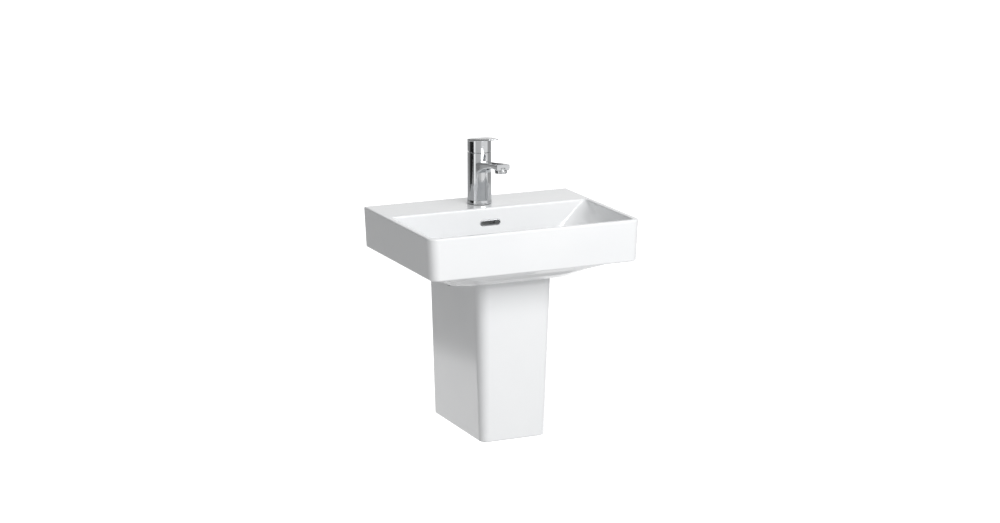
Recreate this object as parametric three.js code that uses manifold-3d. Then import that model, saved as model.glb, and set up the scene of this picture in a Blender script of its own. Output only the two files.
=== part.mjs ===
// A wall-hung washbasin with a ceramic siphon cover (a half pedestal that stops short of the floor),
// a single-lever mixer, a push-open waste, a bottle trap, two angle valves and their flexible hoses.
// Millimetres, +Z up. The wall is the plane y = 0, the front of the basin faces -Y, and x = 0 is the
// plane of symmetry. Everything is drawn from the rim of the basin, at z = 0, and the outer group
// then lifts it so that the origin lies on the wall face, midway between the two wall bolts.
import * as THREE from "three";
import { mergeVertices } from "three/addons/utils/BufferGeometryUtils.js";
import Module from "manifold-3d";

const wasm = await Module();
wasm.setup();

// ---- driving dimensions -------------------------------------------------------------------------
const GAP = 0.3; // running gap left between touching pieces
const CUT = 6; // how far a cutter reaches past the face that it cuts

const BOLT_DROP = 60; // wall bolts below the rim
const BOLT_X = 140; // half the bolt spacing
const BOLT_R = 5;
const BOLT_HOLE_R = 8.5;

const BASIN = { halfWidth: 225, depth: 340, height: 83.5, taper: 4.4, wall: 13.5 };
const BASIN_CORNER = { front: 19, back: 4 };
const EDGE_R = 3.5; // rounding of the top and bottom outer edges
const LIP_R = 4; // rounding of the lip of the bowl
const DECK_FRONT = -115.5; // front edge of the tap deck, where the bowl starts
const BOWL_FRONT = -328;
const BOWL_HALF_WIDTH = 213;
const TILT_FROM = -200; // the floors of the bowl and of its belly tilt about this line
const UNDERSIDE_TILT = 0.2235; // rise of the belly per millimetre towards the front

const TAP_Y = -65;
const TAP_R = 24.6;
const TAP_HOLE_R = 17.5;
const BODY_FOOT = 1.3; // the body stands on a seal this thick
const BODY_TOP = 106;
const PIVOT_Z = 84.5; // the lever rocks about a pin at this height
const LEVER_TILT = 0.14; // the top of the lever rises this much per millimetre towards the front
const SPINDLE_LEAN = THREE.MathUtils.degToRad(10);

const SLOT = { z: -30, halfWidth: 22.5, r: 6 };
const DRAIN_Y = -168;
const DRAIN_R = 23;
const DRAIN_SEAT = -127;
const DRAIN_UNDER = -148;

const COVER = {
  top: -90, bottom: -449, wall: 10,
  halfWidthTop: 81.8, halfWidthBottom: 71.3, frontTop: -247.5, frontBottom: -235.2,
  radiusTop: 24, radiusBottom: 17.5, ears: -118, earsFront: -88,
};

const VALVE = { x: 40, z: -250, axis: -35 };
const OUTLET_Z = -300;
const TRAP_R = 30;

// ---- colours ------------------------------------------------------------------------------------
const FINISHES = {
  ceramic: [0xf4f5f6, 0.12, 0],
  chrome: [0xc9cdd0, 0.08, 1],
  brass: [0xb08d4a, 0.35, 1],
  steel: [0xa9acae, 0.38, 1],
  braid: [0xa4a7aa, 0.45, 1],
  rubber: [0x232323, 0.85, 0],
  white_plastic: [0xe9e9e6, 0.45, 0],
  grey_plastic: [0x6d7175, 0.5, 0],
  index_blue: [0x9aa7b4, 0.3, 0],
};

function finish(name) {
  const [color, roughness, metalness] = FINISHES[name];
  return new THREE.MeshStandardMaterial({ color, roughness, metalness });
}

// ---- solids -------------------------------------------------------------------------------------
function solid(geometry) {
  const bare = geometry.clone();
  bare.deleteAttribute("normal");
  bare.deleteAttribute("uv");
  const merged = mergeVertices(bare, 1e-4);
  return new wasm.Manifold(
    new wasm.Mesh({
      numProp: 3,
      vertProperties: new Float32Array(merged.attributes.position.array),
      triVerts: new Uint32Array(merged.index.array),
    }),
  );
}

function join(first, ...others) {
  return others.reduce((sum, other) => sum.add(solid(other)), solid(first));
}

function cut(body, ...cutters) {
  return cutters.reduce((rest, cutter) => rest.subtract(solid(cutter)), body);
}

function toGeometry(body) {
  const { vertProperties, triVerts } = body.getMesh();
  const geometry = new THREE.BufferGeometry();
  geometry.setAttribute("position", new THREE.BufferAttribute(new Float32Array(vertProperties), 3));
  geometry.setIndex(new THREE.BufferAttribute(new Uint32Array(triVerts), 1));
  const faceted = geometry.toNonIndexed();
  faceted.computeVertexNormals();
  return faceted;
}

function box(xMin, xMax, yMin, yMax, zMin, zMax) {
  return new THREE.BoxGeometry(xMax - xMin, yMax - yMin, zMax - zMin).translate(
    (xMin + xMax) / 2, (yMin + yMax) / 2, (zMin + zMax) / 2,
  );
}

// A solid of revolution about +Z. The profile is [radius, z] pairs, up the outside and down the bore.
function turned(profile, segments = 20) {
  const points = profile.map(([r, z]) => new THREE.Vector2(r, z));
  return new THREE.LatheGeometry(points, segments).rotateX(Math.PI / 2);
}

function rod(r, zMin, zMax, segments = 16) {
  return turned([[0, zMin], [r, zMin], [r, zMax], [0, zMax]], segments);
}

function ring(inner, outer, zMin, zMax, segments = 20) {
  return turned([[inner, zMin], [outer, zMin], [outer, zMax], [inner, zMax], [inner, zMin]], segments);
}

function prism(shape, zMin, zMax, curveSegments = 6) {
  const options = { depth: zMax - zMin, bevelEnabled: false, curveSegments };
  return new THREE.ExtrudeGeometry(shape, options).translate(0, 0, zMin);
}

function polygon(sides, acrossFlats) {
  const r = acrossFlats / 2 / Math.cos(Math.PI / sides);
  const shape = new THREE.Shape();
  for (let i = 0; i < sides; i++) {
    const angle = (2 * Math.PI * i) / sides;
    shape[i ? "lineTo" : "moveTo"](r * Math.cos(angle), r * Math.sin(angle));
  }
  return shape;
}

function nut(acrossFlats, bore, zMin, zMax) {
  const shape = polygon(6, acrossFlats);
  shape.holes.push(new THREE.Path().absarc(0, 0, bore, 0, 2 * Math.PI, true));
  return prism(shape, zMin, zMax, 12);
}

// A rectangle in plan with its own corner radius at the back and at the front. A stretch over 1 makes
// the corners into ellipses that reach further along the sides than along the back and front.
function plan(halfWidth, back, front, backRadius, frontRadius, stretch = 1) {
  const shape = new THREE.Shape();
  const quarter = Math.PI / 2;
  const corners = [
    [1, back, -1, backRadius], [-1, back, -1, backRadius],
    [-1, front, 1, frontRadius], [1, front, 1, frontRadius],
  ];
  corners.forEach(([side, end, inward, radius], turn) => {
    const x = side * (halfWidth - radius);
    const y = end + inward * radius * stretch;
    shape.absellipse(x, y, radius, radius * stretch, turn * quarter, (turn + 1) * quarter);
  });
  return shape;
}

// Skins a stack of rings, each with the same number of points, counter-clockwise about the direction
// in which the stack runs, and closes both ends.
function loft(rings) {
  const count = rings[0].length;
  const positions = rings.flatMap((points) => points.flatMap((p) => [p.x, p.y, p.z]));
  const faces = [];
  for (let level = 0; level + 1 < rings.length; level++) {
    for (let i = 0; i < count; i++) {
      const a = level * count + i;
      const b = level * count + ((i + 1) % count);
      faces.push(a, b, b + count, a, b + count, a + count);
    }
  }
  const last = (rings.length - 1) * count;
  for (let i = 1; i + 1 < count; i++) {
    faces.push(0, i + 1, i);
    faces.push(last, last + i, last + i + 1);
  }
  const geometry = new THREE.BufferGeometry();
  geometry.setAttribute("position", new THREE.Float32BufferAttribute(positions, 3));
  geometry.setIndex(faces);
  return geometry;
}

// One ring of a bowl: a rounded rectangle whose points rise towards the front by `tilt`.
function planRing(ring, divisions) {
  const { z, halfWidth, back, front, radius, backRadius = radius, stretch = 1, tilt = 0 } = ring;
  const points = plan(halfWidth, back, front, backRadius, radius, stretch).getPoints(divisions);
  points.pop();
  return points.map((p) => new THREE.Vector3(p.x, p.y, z + tilt * (TILT_FROM - p.y)));
}

// ---- assembly -----------------------------------------------------------------------------------
const sink = new THREE.Group();
const fromRim = new THREE.Group();
fromRim.position.z = BOLT_DROP;
sink.add(fromRim);

const onTap = new THREE.Group();
onTap.position.y = TAP_Y;
const onDrain = new THREE.Group();
onDrain.position.y = DRAIN_Y;
fromRim.add(onTap, onDrain);

function place(parent, name, shape, finishName, position = [0, 0, 0], rotation = [0, 0, 0]) {
  const geometry = shape.isBufferGeometry ? shape : toGeometry(shape);
  const mesh = new THREE.Mesh(geometry, finish(finishName));
  mesh.name = name;
  mesh.position.set(...position);
  mesh.rotation.set(...rotation);
  parent.add(mesh);
}

const SIDES = [["left", -1], ["right", 1]];

// ---- basin --------------------------------------------------------------------------------------
// The outer block: straight sides that lean in a little towards the bottom.
function basinBlock() {
  const { halfWidth, depth, height, taper } = BASIN;
  const shape = plan(
    halfWidth - EDGE_R, -EDGE_R, -depth + EDGE_R, BASIN_CORNER.back, BASIN_CORNER.front - EDGE_R,
  );
  const geometry = new THREE.ExtrudeGeometry(shape, {
    depth: height - 2 * EDGE_R, bevelThickness: EDGE_R, bevelSize: EDGE_R,
    bevelSegments: 2, curveSegments: 4,
  }).translate(0, 0, EDGE_R - height);
  const position = geometry.attributes.position;
  for (let i = 0; i < position.count; i++) {
    const lean = (-position.getZ(i) / height) * taper;
    position.setX(i, position.getX(i) * (1 - lean / halfWidth));
  }
  return geometry;
}

// Rings of the bowl from the foot of its lip down to the floor. Its corners open out with depth.
const BOWL_RINGS = [
  { z: -LIP_R, halfWidth: BOWL_HALF_WIDTH, back: DECK_FRONT, front: BOWL_FRONT, radius: 9 },
  { z: -17, halfWidth: 211, back: -117, front: -326, radius: 22, stretch: 3 },
  { z: -34, halfWidth: 208, back: -119, front: -324, radius: 40, stretch: 2.4 },
  { z: -50, halfWidth: 205, back: -121, front: -321, radius: 60, stretch: 1.6 },
  { z: -66, halfWidth: 198, back: -122.5, front: -315, radius: 72, stretch: 1.3 },
  { z: -80, halfWidth: 184, back: -124, front: -306, radius: 78, stretch: 1.15 },
  { z: -92, halfWidth: 160, back: -125.5, front: -296, radius: 76, stretch: 1.08, tilt: 0.04 },
  { z: -103, halfWidth: 132, back: -127.5, front: -284, radius: 70, tilt: 0.08 },
  { z: -112, halfWidth: 103, back: -130, front: -270, radius: 60, tilt: 0.11 },
  { z: -118, halfWidth: 74, back: -134, front: -252, radius: 48, tilt: 0.14 },
  { z: -120.5, halfWidth: 45, back: -141, front: -225, radius: 36, tilt: 0.14 },
];

// Rings of the belly, the underside of the bowl, from inside the block down to its flat bottom.
const BELLY_RINGS = [
  { z: -60, halfWidth: 207, back: -100, front: -326, radius: 40, backRadius: 45 },
  { z: -84, halfWidth: 205, back: -100, front: -322, radius: 45, backRadius: 50 },
  { z: -98, halfWidth: 180, back: -100, front: -310, radius: 40, backRadius: 92, tilt: 0.05 },
  { z: -113, halfWidth: 157, back: -100, front: -302, radius: 52, backRadius: 90, tilt: 0.14 },
  { z: -125, halfWidth: 130, back: -100, front: -295, radius: 58, backRadius: 112, tilt: 0.2 },
  { z: -130.5, halfWidth: 115, back: -100, front: -287, radius: 45, backRadius: 103, tilt: UNDERSIDE_TILT },
  { z: -132.5, halfWidth: 106, back: -104, front: -282, radius: 46, backRadius: 92, tilt: UNDERSIDE_TILT },
];

// The bowl as a solid to take away: its walls, then the round of its lip, then past the rim.
function bowlVoid(divisions) {
  const [top] = BOWL_RINGS;
  const lip = [30, 60, 90].map((degrees) => {
    const angle = THREE.MathUtils.degToRad(degrees);
    const grow = LIP_R * (1 - Math.cos(angle));
    return {
      z: LIP_R * (Math.sin(angle) - 1), halfWidth: top.halfWidth + grow,
      back: top.back + grow, front: top.front - grow, radius: top.radius + grow,
    };
  });
  const past = { ...lip.at(-1), z: CUT };
  return loft([...BOWL_RINGS.toReversed(), ...lip, past].map((ring) => planRing(ring, divisions)));
}

// The space under the tap deck, open at the bottom, where the tap and the wall nuts are reached.
function deckVoid() {
  const { halfWidth, wall, height } = BASIN;
  const side = halfWidth - BASIN.taper - wall;
  return prism(plan(side, -wall, -99, 14, 8), -height - CUT, -wall);
}

// The overflow duct: down the back of the bowl, then forward under its floor to the drain.
const DUCT = {
  halfWidth: 20, back: -91, front: -100, top: -20, floor: -143, portHalfWidth: 11, portHeight: 8, wall: 4.5,
};

function buildBasin() {
  const belly = loft(BELLY_RINGS.toReversed().map((ring) => planRing(ring, 4)));
  const ductWall = box(
    -DUCT.halfWidth - DUCT.wall, DUCT.halfWidth + DUCT.wall, DUCT.front - DUCT.wall,
    DUCT.back + DUCT.wall, DUCT.floor - DUCT.wall, DUCT.top + DUCT.wall - 1,
  );
  const boss = rod(36, DRAIN_UNDER, -122, 28).translate(0, DRAIN_Y, 0);
  let body = cut(solid(basinBlock()), deckVoid());
  body = body.add(solid(belly)).add(solid(ductWall)).add(solid(boss));
  const slotShape = plan(SLOT.halfWidth, SLOT.r, -SLOT.r, SLOT.r - 0.01, SLOT.r - 0.01);
  const slot = prism(slotShape, 0, 24).rotateX(Math.PI / 2).translate(0, DUCT.front + 1, SLOT.z);
  body = cut(
    body,
    bowlVoid(4),
    rod(TAP_HOLE_R, -BASIN.wall - CUT, CUT, 24).translate(0, TAP_Y, 0),
    rod(DRAIN_R, DRAIN_UNDER - CUT, DRAIN_SEAT + CUT, 24).translate(0, DRAIN_Y, 0),
    rod(33.5, DRAIN_SEAT, DRAIN_SEAT + CUT, 32).translate(0, DRAIN_Y, 0),
    slot,
    box(-DUCT.halfWidth, DUCT.halfWidth, DUCT.front, DUCT.back, DUCT.floor, DUCT.top - 1),
    box(
      -DUCT.portHalfWidth, DUCT.portHalfWidth, DRAIN_Y + 10, DUCT.back - 1,
      DUCT.floor, DUCT.floor + DUCT.portHeight,
    ),
  );
  for (const [, side] of SIDES) {
    const hole = rod(BOLT_HOLE_R, -CUT, BASIN.wall + CUT).rotateX(Math.PI / 2);
    body = cut(body, hole.translate(side * BOLT_X, 0, -BOLT_DROP));
  }
  return body;
}

place(fromRim, "basin", buildBasin(), "ceramic");

// ---- siphon cover -------------------------------------------------------------------------------
const COVER_SCREW = { x: 53, z: -404, hole: 3.6 };

function coverRing(z, inset, back) {
  const share = (COVER.top - z) / (COVER.top - COVER.bottom);
  const along = THREE.MathUtils.lerp;
  const radius = along(COVER.radiusTop, COVER.radiusBottom, share);
  return planRing({
    z, back, backRadius: 0.5, radius: Math.max(radius - inset, 4),
    halfWidth: along(COVER.halfWidthTop, COVER.halfWidthBottom, share) - inset,
    front: along(COVER.frontTop, COVER.frontBottom, share) + inset,
  }, 4);
}

function buildCover() {
  const round = 3;
  const outer = loft([
    coverRing(COVER.bottom, round, -round / 2), coverRing(COVER.bottom + 1, round * 0.4, 0),
    coverRing(COVER.bottom + round, 0, 0), coverRing(COVER.top, 0, 0),
  ]);
  const inner = loft([
    coverRing(COVER.bottom - CUT, COVER.wall, CUT), coverRing(COVER.top + CUT, COVER.wall, CUT),
  ]);
  let body = cut(solid(outer), inner);
  for (const [, side] of SIDES) {
    const inside = side * (COVER_SCREW.x - 9);
    const outside = side * (COVER_SCREW.x + 10);
    const ear = box(
      Math.min(inside, outside), Math.max(inside, outside), -12, 0,
      COVER_SCREW.z - 14, COVER_SCREW.z + 14,
    );
    const hole = rod(COVER_SCREW.hole, -CUT, 12 + CUT, 16).rotateX(Math.PI / 2);
    body = cut(body.add(solid(ear)), hole.translate(side * COVER_SCREW.x, 0, COVER_SCREW.z));
  }
  // The top edge follows the belly with a small gap, and steps up behind it.
  const under = (y) => BELLY_RINGS.at(-1).z + UNDERSIDE_TILT * (TILT_FROM - y) - 1.2;
  const past = COVER.frontTop - CUT;
  const above = new THREE.Shape([
    new THREE.Vector2(CUT, COVER.ears), new THREE.Vector2(CUT, 0), new THREE.Vector2(past, 0),
    new THREE.Vector2(past, under(past)), new THREE.Vector2(COVER.earsFront, under(COVER.earsFront)),
    new THREE.Vector2(COVER.earsFront, COVER.ears),
  ]);
  const across = COVER.halfWidthTop + CUT;
  const cutter = prism(above, -across, across).rotateY(Math.PI / 2).rotateX(Math.PI / 2);
  return cut(body, cutter);
}

place(fromRim, "siphon_cover", buildCover(), "ceramic");

// ---- wall fixings -------------------------------------------------------------------------------
for (const [side, sign] of SIDES) {
  const bolt = new THREE.Group();
  bolt.position.set(sign * BOLT_X, 0, -BOLT_DROP);
  bolt.rotation.x = Math.PI / 2; // +Z runs out of the wall
  fromRim.add(bolt);
  const face = BASIN.wall + GAP;
  place(bolt, `wall_stud_${side}`, rod(BOLT_R, 0.4, 34), "steel");
  const bush = [
    [BOLT_R + GAP, 3], [BOLT_HOLE_R - GAP, 3], [BOLT_HOLE_R - GAP, face], [14, face],
    [14, face + 2.5], [BOLT_R + GAP, face + 2.5], [BOLT_R + GAP, 3],
  ];
  place(bolt, `wall_bush_${side}`, turned(bush, 16), "white_plastic");
  place(bolt, `wall_washer_${side}`, ring(BOLT_R + GAP, 11, face + 2.8, face + 4.8, 16), "steel");
  place(bolt, `wall_nut_${side}`, nut(17, BOLT_R + GAP, face + 5.1, face + 13), "steel");

  const screw = new THREE.Group();
  screw.position.set(sign * COVER_SCREW.x, 0, COVER_SCREW.z);
  screw.rotation.x = Math.PI / 2;
  fromRim.add(screw);
  place(screw, `cover_washer_${side}`, ring(3 + GAP, 7.5, 12.3, 14.3), "white_plastic");
  const shank = [[0, 0.4], [3, 0.4], [3, 14.6], [6, 14.6], [5.2, 17.6], [3, 18.6], [0, 18.6]];
  place(screw, `cover_screw_${side}`, turned(shank, 16), "steel");
}

// ---- mixer: body and spout ----------------------------------------------------------------------
const HOSE = { x: 8, y: 4, r: 5.5 }; // the hoses under the tap, from its axis
const STUD_Y = -9;
const AERATOR_Y = -105; // from the axis of the tap
const SPOUT_END = -115;

// Stations of the spout along -Y: place, half width, bottom and top, from the axis and the deck.
const SPOUT = [
  { y: -8, half: 17, bottom: 62, top: 81.5 },
  { y: -22, half: 15.5, bottom: 65.5, top: 87.3 },
  { y: -32, half: 13.6, bottom: 71, top: 88.8 },
  { y: -45, half: 12.4, bottom: 77, top: 90.3 },
  { y: -62, half: 12.2, bottom: 81.5, top: 92.3 },
  { y: -80, half: 13.2, bottom: 85, top: 94.6 },
  { y: -90, half: 13.8, bottom: 86.6, top: 95.8 },
  { y: -113.5, half: 14.2, bottom: 86.6, top: 98.6 },
  { y: SPOUT_END, half: 13.2, bottom: 87.6, top: 97.9 },
];

function spoutRing({ y, half, bottom, top }) {
  const mid = (bottom + top) / 2;
  const shape = plan(half, top - mid, bottom - mid, 3, 3);
  const points = shape.getPoints(2);
  points.pop();
  return points.map((p) => new THREE.Vector3(p.x, y, mid + p.y));
}

function buildTapBody() {
  const outside = [
    [0, BODY_FOOT], [TAP_R + 0.6, BODY_FOOT], [TAP_R + 0.4, 4], [TAP_R - 0.2, 9],
    [TAP_R - 0.2, BODY_TOP - 0.8], [TAP_R - 1, BODY_TOP], [0, BODY_TOP],
  ];
  const spout = loft(SPOUT.map(spoutRing));
  let body = join(turned(outside, 32), spout);
  const cartridgeBore = [
    [0, 51], [17.7, 51], [17.7, 84], [20.4, 84], [20.4, BODY_TOP + CUT], [0, BODY_TOP + CUT],
  ];
  const rise = Math.atan2(13, 90);
  const channel = rod(5, 0, 82, 16).rotateX(Math.PI / 2 - rise).translate(0, -14, 76);
  body = cut(
    body,
    turned(cartridgeBore, 24),
    rod(20.5, 0, 12, 24),
    ring(16.5, 20.5, 11, 46, 24),
    channel,
    rod(11, 80, 92, 20).translate(0, AERATOR_Y, 0),
    rod(4.3, 10, 24, 16).translate(0, STUD_Y, 0),
    rod(2.9, -TAP_R - 1, -TAP_R + 1.6, 20).rotateX(-Math.PI / 2).translate(0, 0, 95),
  );
  for (const [, sign] of SIDES) {
    body = cut(
      body,
      rod(5.2, 10, 24, 16).translate(sign * HOSE.x, HOSE.y, 0),
      rod(3, 20, 53, 12).translate(sign * HOSE.x, HOSE.y, 0),
    );
  }
  return body;
}

place(onTap, "tap_body", buildTapBody(), "chrome");
place(onTap, "tap_base_seal", ring(19.5, 23.5, 0.2, BODY_FOOT - 0.2, 24), "rubber");
const indexRing = ring(1.2, 2.6, 0, 1, 20).rotateX(Math.PI / 2);
place(onTap, "temperature_index", indexRing, "index_blue", [0, -TAP_R + 1.3, 95]);

const aeratorShell = [
  [8.6, 80], [12.2, 80], [12.5, 80.6], [12.5, 86.3], [10.7, 86.3], [10.7, 91], [8.6, 91],
  [8.6, 80],
];
place(onTap, "aerator_housing", turned(aeratorShell, 20), "chrome", [0, AERATOR_Y, 0]);

function buildAeratorInsert() {
  let body = solid(rod(8.3, 81.2, 89));
  for (let i = 0; i < 6; i++) {
    const angle = (Math.PI / 3) * i;
    body = cut(body, rod(1.6, 80, 90, 8).translate(5 * Math.cos(angle), 5 * Math.sin(angle), 0));
  }
  return body;
}

place(onTap, "aerator_insert", buildAeratorInsert(), "grey_plastic", [0, AERATOR_Y, 0]);

// ---- mixer: cartridge and lever -----------------------------------------------------------------
function buildCartridge() {
  const outline = [
    [0, 52], [17.3, 52], [17.3, 83.6], [17.3, 84.3], [20, 84.3], [20, 87.6], [15, 87.6],
    [15, 97], [11.4, 97], [11.4, 76.5], [0, 76.5],
  ];
  let body = solid(turned(outline, 24));
  for (const [, sign] of SIDES) {
    body = cut(body, rod(2.6, 50, 60, 12).translate(sign * HOSE.x, HOSE.y, 0));
  }
  return body;
}

place(onTap, "cartridge", buildCartridge(), "grey_plastic");

const DOME_R = 30;
function buildCartridgeNut() {
  const outline = [[15.4, 88], [20.1, 88]];
  for (const r of [20.1, 19, 17.4, 15.4]) {
    outline.push([r, PIVOT_Z + Math.sqrt(DOME_R ** 2 - r ** 2)]);
  }
  outline.push([15.4, 88]);
  return turned(outline, 24);
}

place(onTap, "cartridge_nut", buildCartridgeNut(), "chrome");

// The driver turns with the lever inside the cartridge, and carries the pin that the spindle rocks on.
const SPINDLE_HALF = 4;
function buildDriver() {
  return cut(
    solid(rod(11, 77, 96, 20)),
    box(-SPINDLE_HALF - GAP, SPINDLE_HALF + GAP, -8.4, 8.4, 79, 100),
    rod(1.8, -9.5, 9.5, 14).rotateY(Math.PI / 2).translate(0, 0, PIVOT_Z),
  );
}

place(onTap, "cartridge_driver", buildDriver(), "white_plastic");
place(onTap, "pivot_pin", rod(1.5, -9, 9, 14).rotateY(Math.PI / 2), "steel", [0, 0, PIVOT_Z]);

const leaning = new THREE.Group(); // everything square to the spindle
leaning.position.z = PIVOT_Z;
leaning.rotation.x = SPINDLE_LEAN;
onTap.add(leaning);

function buildSpindle() {
  const stem = box(-SPINDLE_HALF, SPINDLE_HALF, -SPINDLE_HALF, SPINDLE_HALF, -3.4, 42);
  return cut(solid(stem), rod(1.8, -9, 9, 14).rotateY(Math.PI / 2));
}

place(leaning, "cartridge_spindle", buildSpindle(), "brass");

const SCREW_UP = 34.5; // the set screw, along the spindle from the pivot

// The lever: a short cylinder under a sloping top plate that runs forward into a blade.
const HANDLE = {
  r: TAP_R, inner: 22.2, top: 132.6, tip: -70, tipHalf: 11.8, tipCorner: 3, plate: 4.6, tipPlate: 3,
  socket: 8.5, socketFrom: 31.8, rearGap: 2.2,
};

function bladeOutline() {
  const { r, tip, tipHalf, tipCorner } = HANDLE;
  const spread = Math.acos((r - tipHalf) / -tip) + 0.04;
  const shape = new THREE.Shape();
  shape.absarc(0, 0, r, -Math.PI / 2 + spread, Math.PI * 1.5 - spread);
  shape.lineTo(-tipHalf, tip + tipCorner);
  shape.absarc(-tipHalf + tipCorner, tip + tipCorner, tipCorner, Math.PI, Math.PI * 1.5);
  shape.absarc(tipHalf - tipCorner, tip + tipCorner, tipCorner, Math.PI * 1.5, Math.PI * 2);
  shape.closePath();
  return shape;
}

// The plate lies in its own plane, thins towards the tip and is then tilted up at the front.
function topPlate() {
  const bevel = 0.8;
  const geometry = new THREE.ExtrudeGeometry(bladeOutline(), {
    depth: HANDLE.plate - 2 * bevel, bevelThickness: bevel, bevelSize: bevel, bevelOffset: -bevel,
    bevelSegments: 1, curveSegments: 12,
  }).translate(0, 0, bevel - HANDLE.plate);
  const position = geometry.attributes.position;
  for (let i = 0; i < position.count; i++) {
    const forward = (position.getY(i) + HANDLE.r) / (HANDLE.tip + HANDLE.r);
    const share = THREE.MathUtils.clamp(forward, 0, 1);
    const thin = THREE.MathUtils.lerp(1, HANDLE.tipPlate / HANDLE.plate, share);
    position.setZ(i, position.getZ(i) * thin);
  }
  return geometry.rotateX(-Math.atan(LEVER_TILT)).translate(0, 0, HANDLE.top);
}

function buildLever() {
  const { r, inner, top, plate } = HANDLE;
  const big = 60;
  const block = (zMin, zMax, tilt, z) =>
    box(-big, big, -big, big, zMin, zMax).rotateX(tilt).translate(0, 0, z);
  const slope = Math.atan(LEVER_TILT);
  const aboveTop = block(-1.5, big, -slope, top);
  const aboveRoof = block(0, big, -slope, top - plate);
  const belowFoot = block(-big, 0, Math.atan2(HANDLE.rearGap, 2 * r), BODY_TOP + 1.9);
  const skirt = cut(solid(rod(r - 0.2, 100, 145, 32)), aboveTop, belowFoot);
  const hollow = cut(solid(rod(inner, 90, 150, 24)), aboveRoof);
  const socket = cut(
    solid(rod(HANDLE.socket, HANDLE.socketFrom, 50).rotateX(SPINDLE_LEAN).translate(0, 0, PIVOT_Z)),
    aboveTop,
  );
  const square = SPINDLE_HALF + GAP;
  const spindleHole = box(-square, square, -square, square, 20, 42.4)
    .rotateX(SPINDLE_LEAN).translate(0, 0, PIVOT_Z);
  const screwHole = rod(2.4, 3, 40, 14).rotateX(-Math.PI / 2).translate(0, 0, SCREW_UP)
    .rotateX(SPINDLE_LEAN).translate(0, 0, PIVOT_Z);
  const body = skirt.subtract(hollow).add(socket).add(solid(topPlate()));
  return cut(body, spindleHole, screwHole);
}

place(onTap, "lever", buildLever(), "chrome");
const screwShape = rod(2, SPINDLE_HALF + GAP, 12, 14).rotateX(-Math.PI / 2);
place(leaning, "lever_set_screw", screwShape, "steel", [0, 0, SCREW_UP]);
const plugShape = rod(2.1, 28.9, 30.9, 14).rotateX(-Math.PI / 2);
place(leaning, "set_screw_plug", plugShape, "grey_plastic", [0, 0, SCREW_UP]);

// ---- mixer: fixing under the deck ---------------------------------------------------------------
const UNDER_DECK = -BASIN.wall;
const STUD_R = 3.9;
place(onTap, "tap_stud", rod(STUD_R, -42, 23.5), "steel", [0, STUD_Y, 0]);

// A round plate with a slot from the back for the two hoses and a hole for the stud.
function horseshoe(outer, zMin, zMax) {
  const plate = solid(rod(outer, zMin, zMax, 20));
  const slotHalf = HOSE.x + HOSE.r + 1;
  return cut(
    plate,
    box(-slotHalf, slotHalf, HOSE.y - HOSE.r - 1, outer + 1, zMin - 1, zMax + 1),
    rod(STUD_R + GAP, zMin - 1, zMax + 1).translate(0, STUD_Y, 0),
  );
}

place(onTap, "clamp_gasket", horseshoe(20.5, UNDER_DECK - 3.2, UNDER_DECK - 0.2), "rubber");
place(onTap, "clamp_plate", horseshoe(20.5, UNDER_DECK - 6, UNDER_DECK - 3.5), "steel");
const studNut = nut(13, STUD_R + GAP, UNDER_DECK - 18, UNDER_DECK - 6.3);
place(onTap, "tap_stud_nut", studNut, "brass", [0, STUD_Y, 0]);

// ---- supply: hoses and angle valves -------------------------------------------------------------
const HOSE_TOP = 1.7;
const VALVE_OUT = VALVE.z + 31; // top of the nut on the outlet of the valve

function hoseRoute(sign) {
  const route = [
    [HOSE.x, TAP_Y + HOSE.y, HOSE_TOP], [HOSE.x, TAP_Y + HOSE.y, -20], [HOSE.x + 0.4, TAP_Y + 4.2, -45],
    [HOSE.x + 4, TAP_Y + 6, -75], [HOSE.x + 12, TAP_Y + 11, -110], [HOSE.x + 22, TAP_Y + 19, -145],
    [VALVE.x - 2.6, VALVE.axis - 3.5, -175], [VALVE.x - 0.2, VALVE.axis - 0.4, -200],
    [VALVE.x, VALVE.axis, VALVE_OUT + GAP],
  ];
  return new THREE.CatmullRomCurve3(route.map(([x, y, z]) => new THREE.Vector3(sign * x, y, z)));
}

function sweep(curve, r, steps, sides = 8) {
  const section = new THREE.Shape();
  for (let i = 0; i < sides; i++) {
    const angle = (2 * Math.PI * i) / sides;
    section[i ? "lineTo" : "moveTo"](r * Math.cos(angle), r * Math.sin(angle));
  }
  return new THREE.ExtrudeGeometry(section, { steps, extrudePath: curve, bevelEnabled: false });
}

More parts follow.
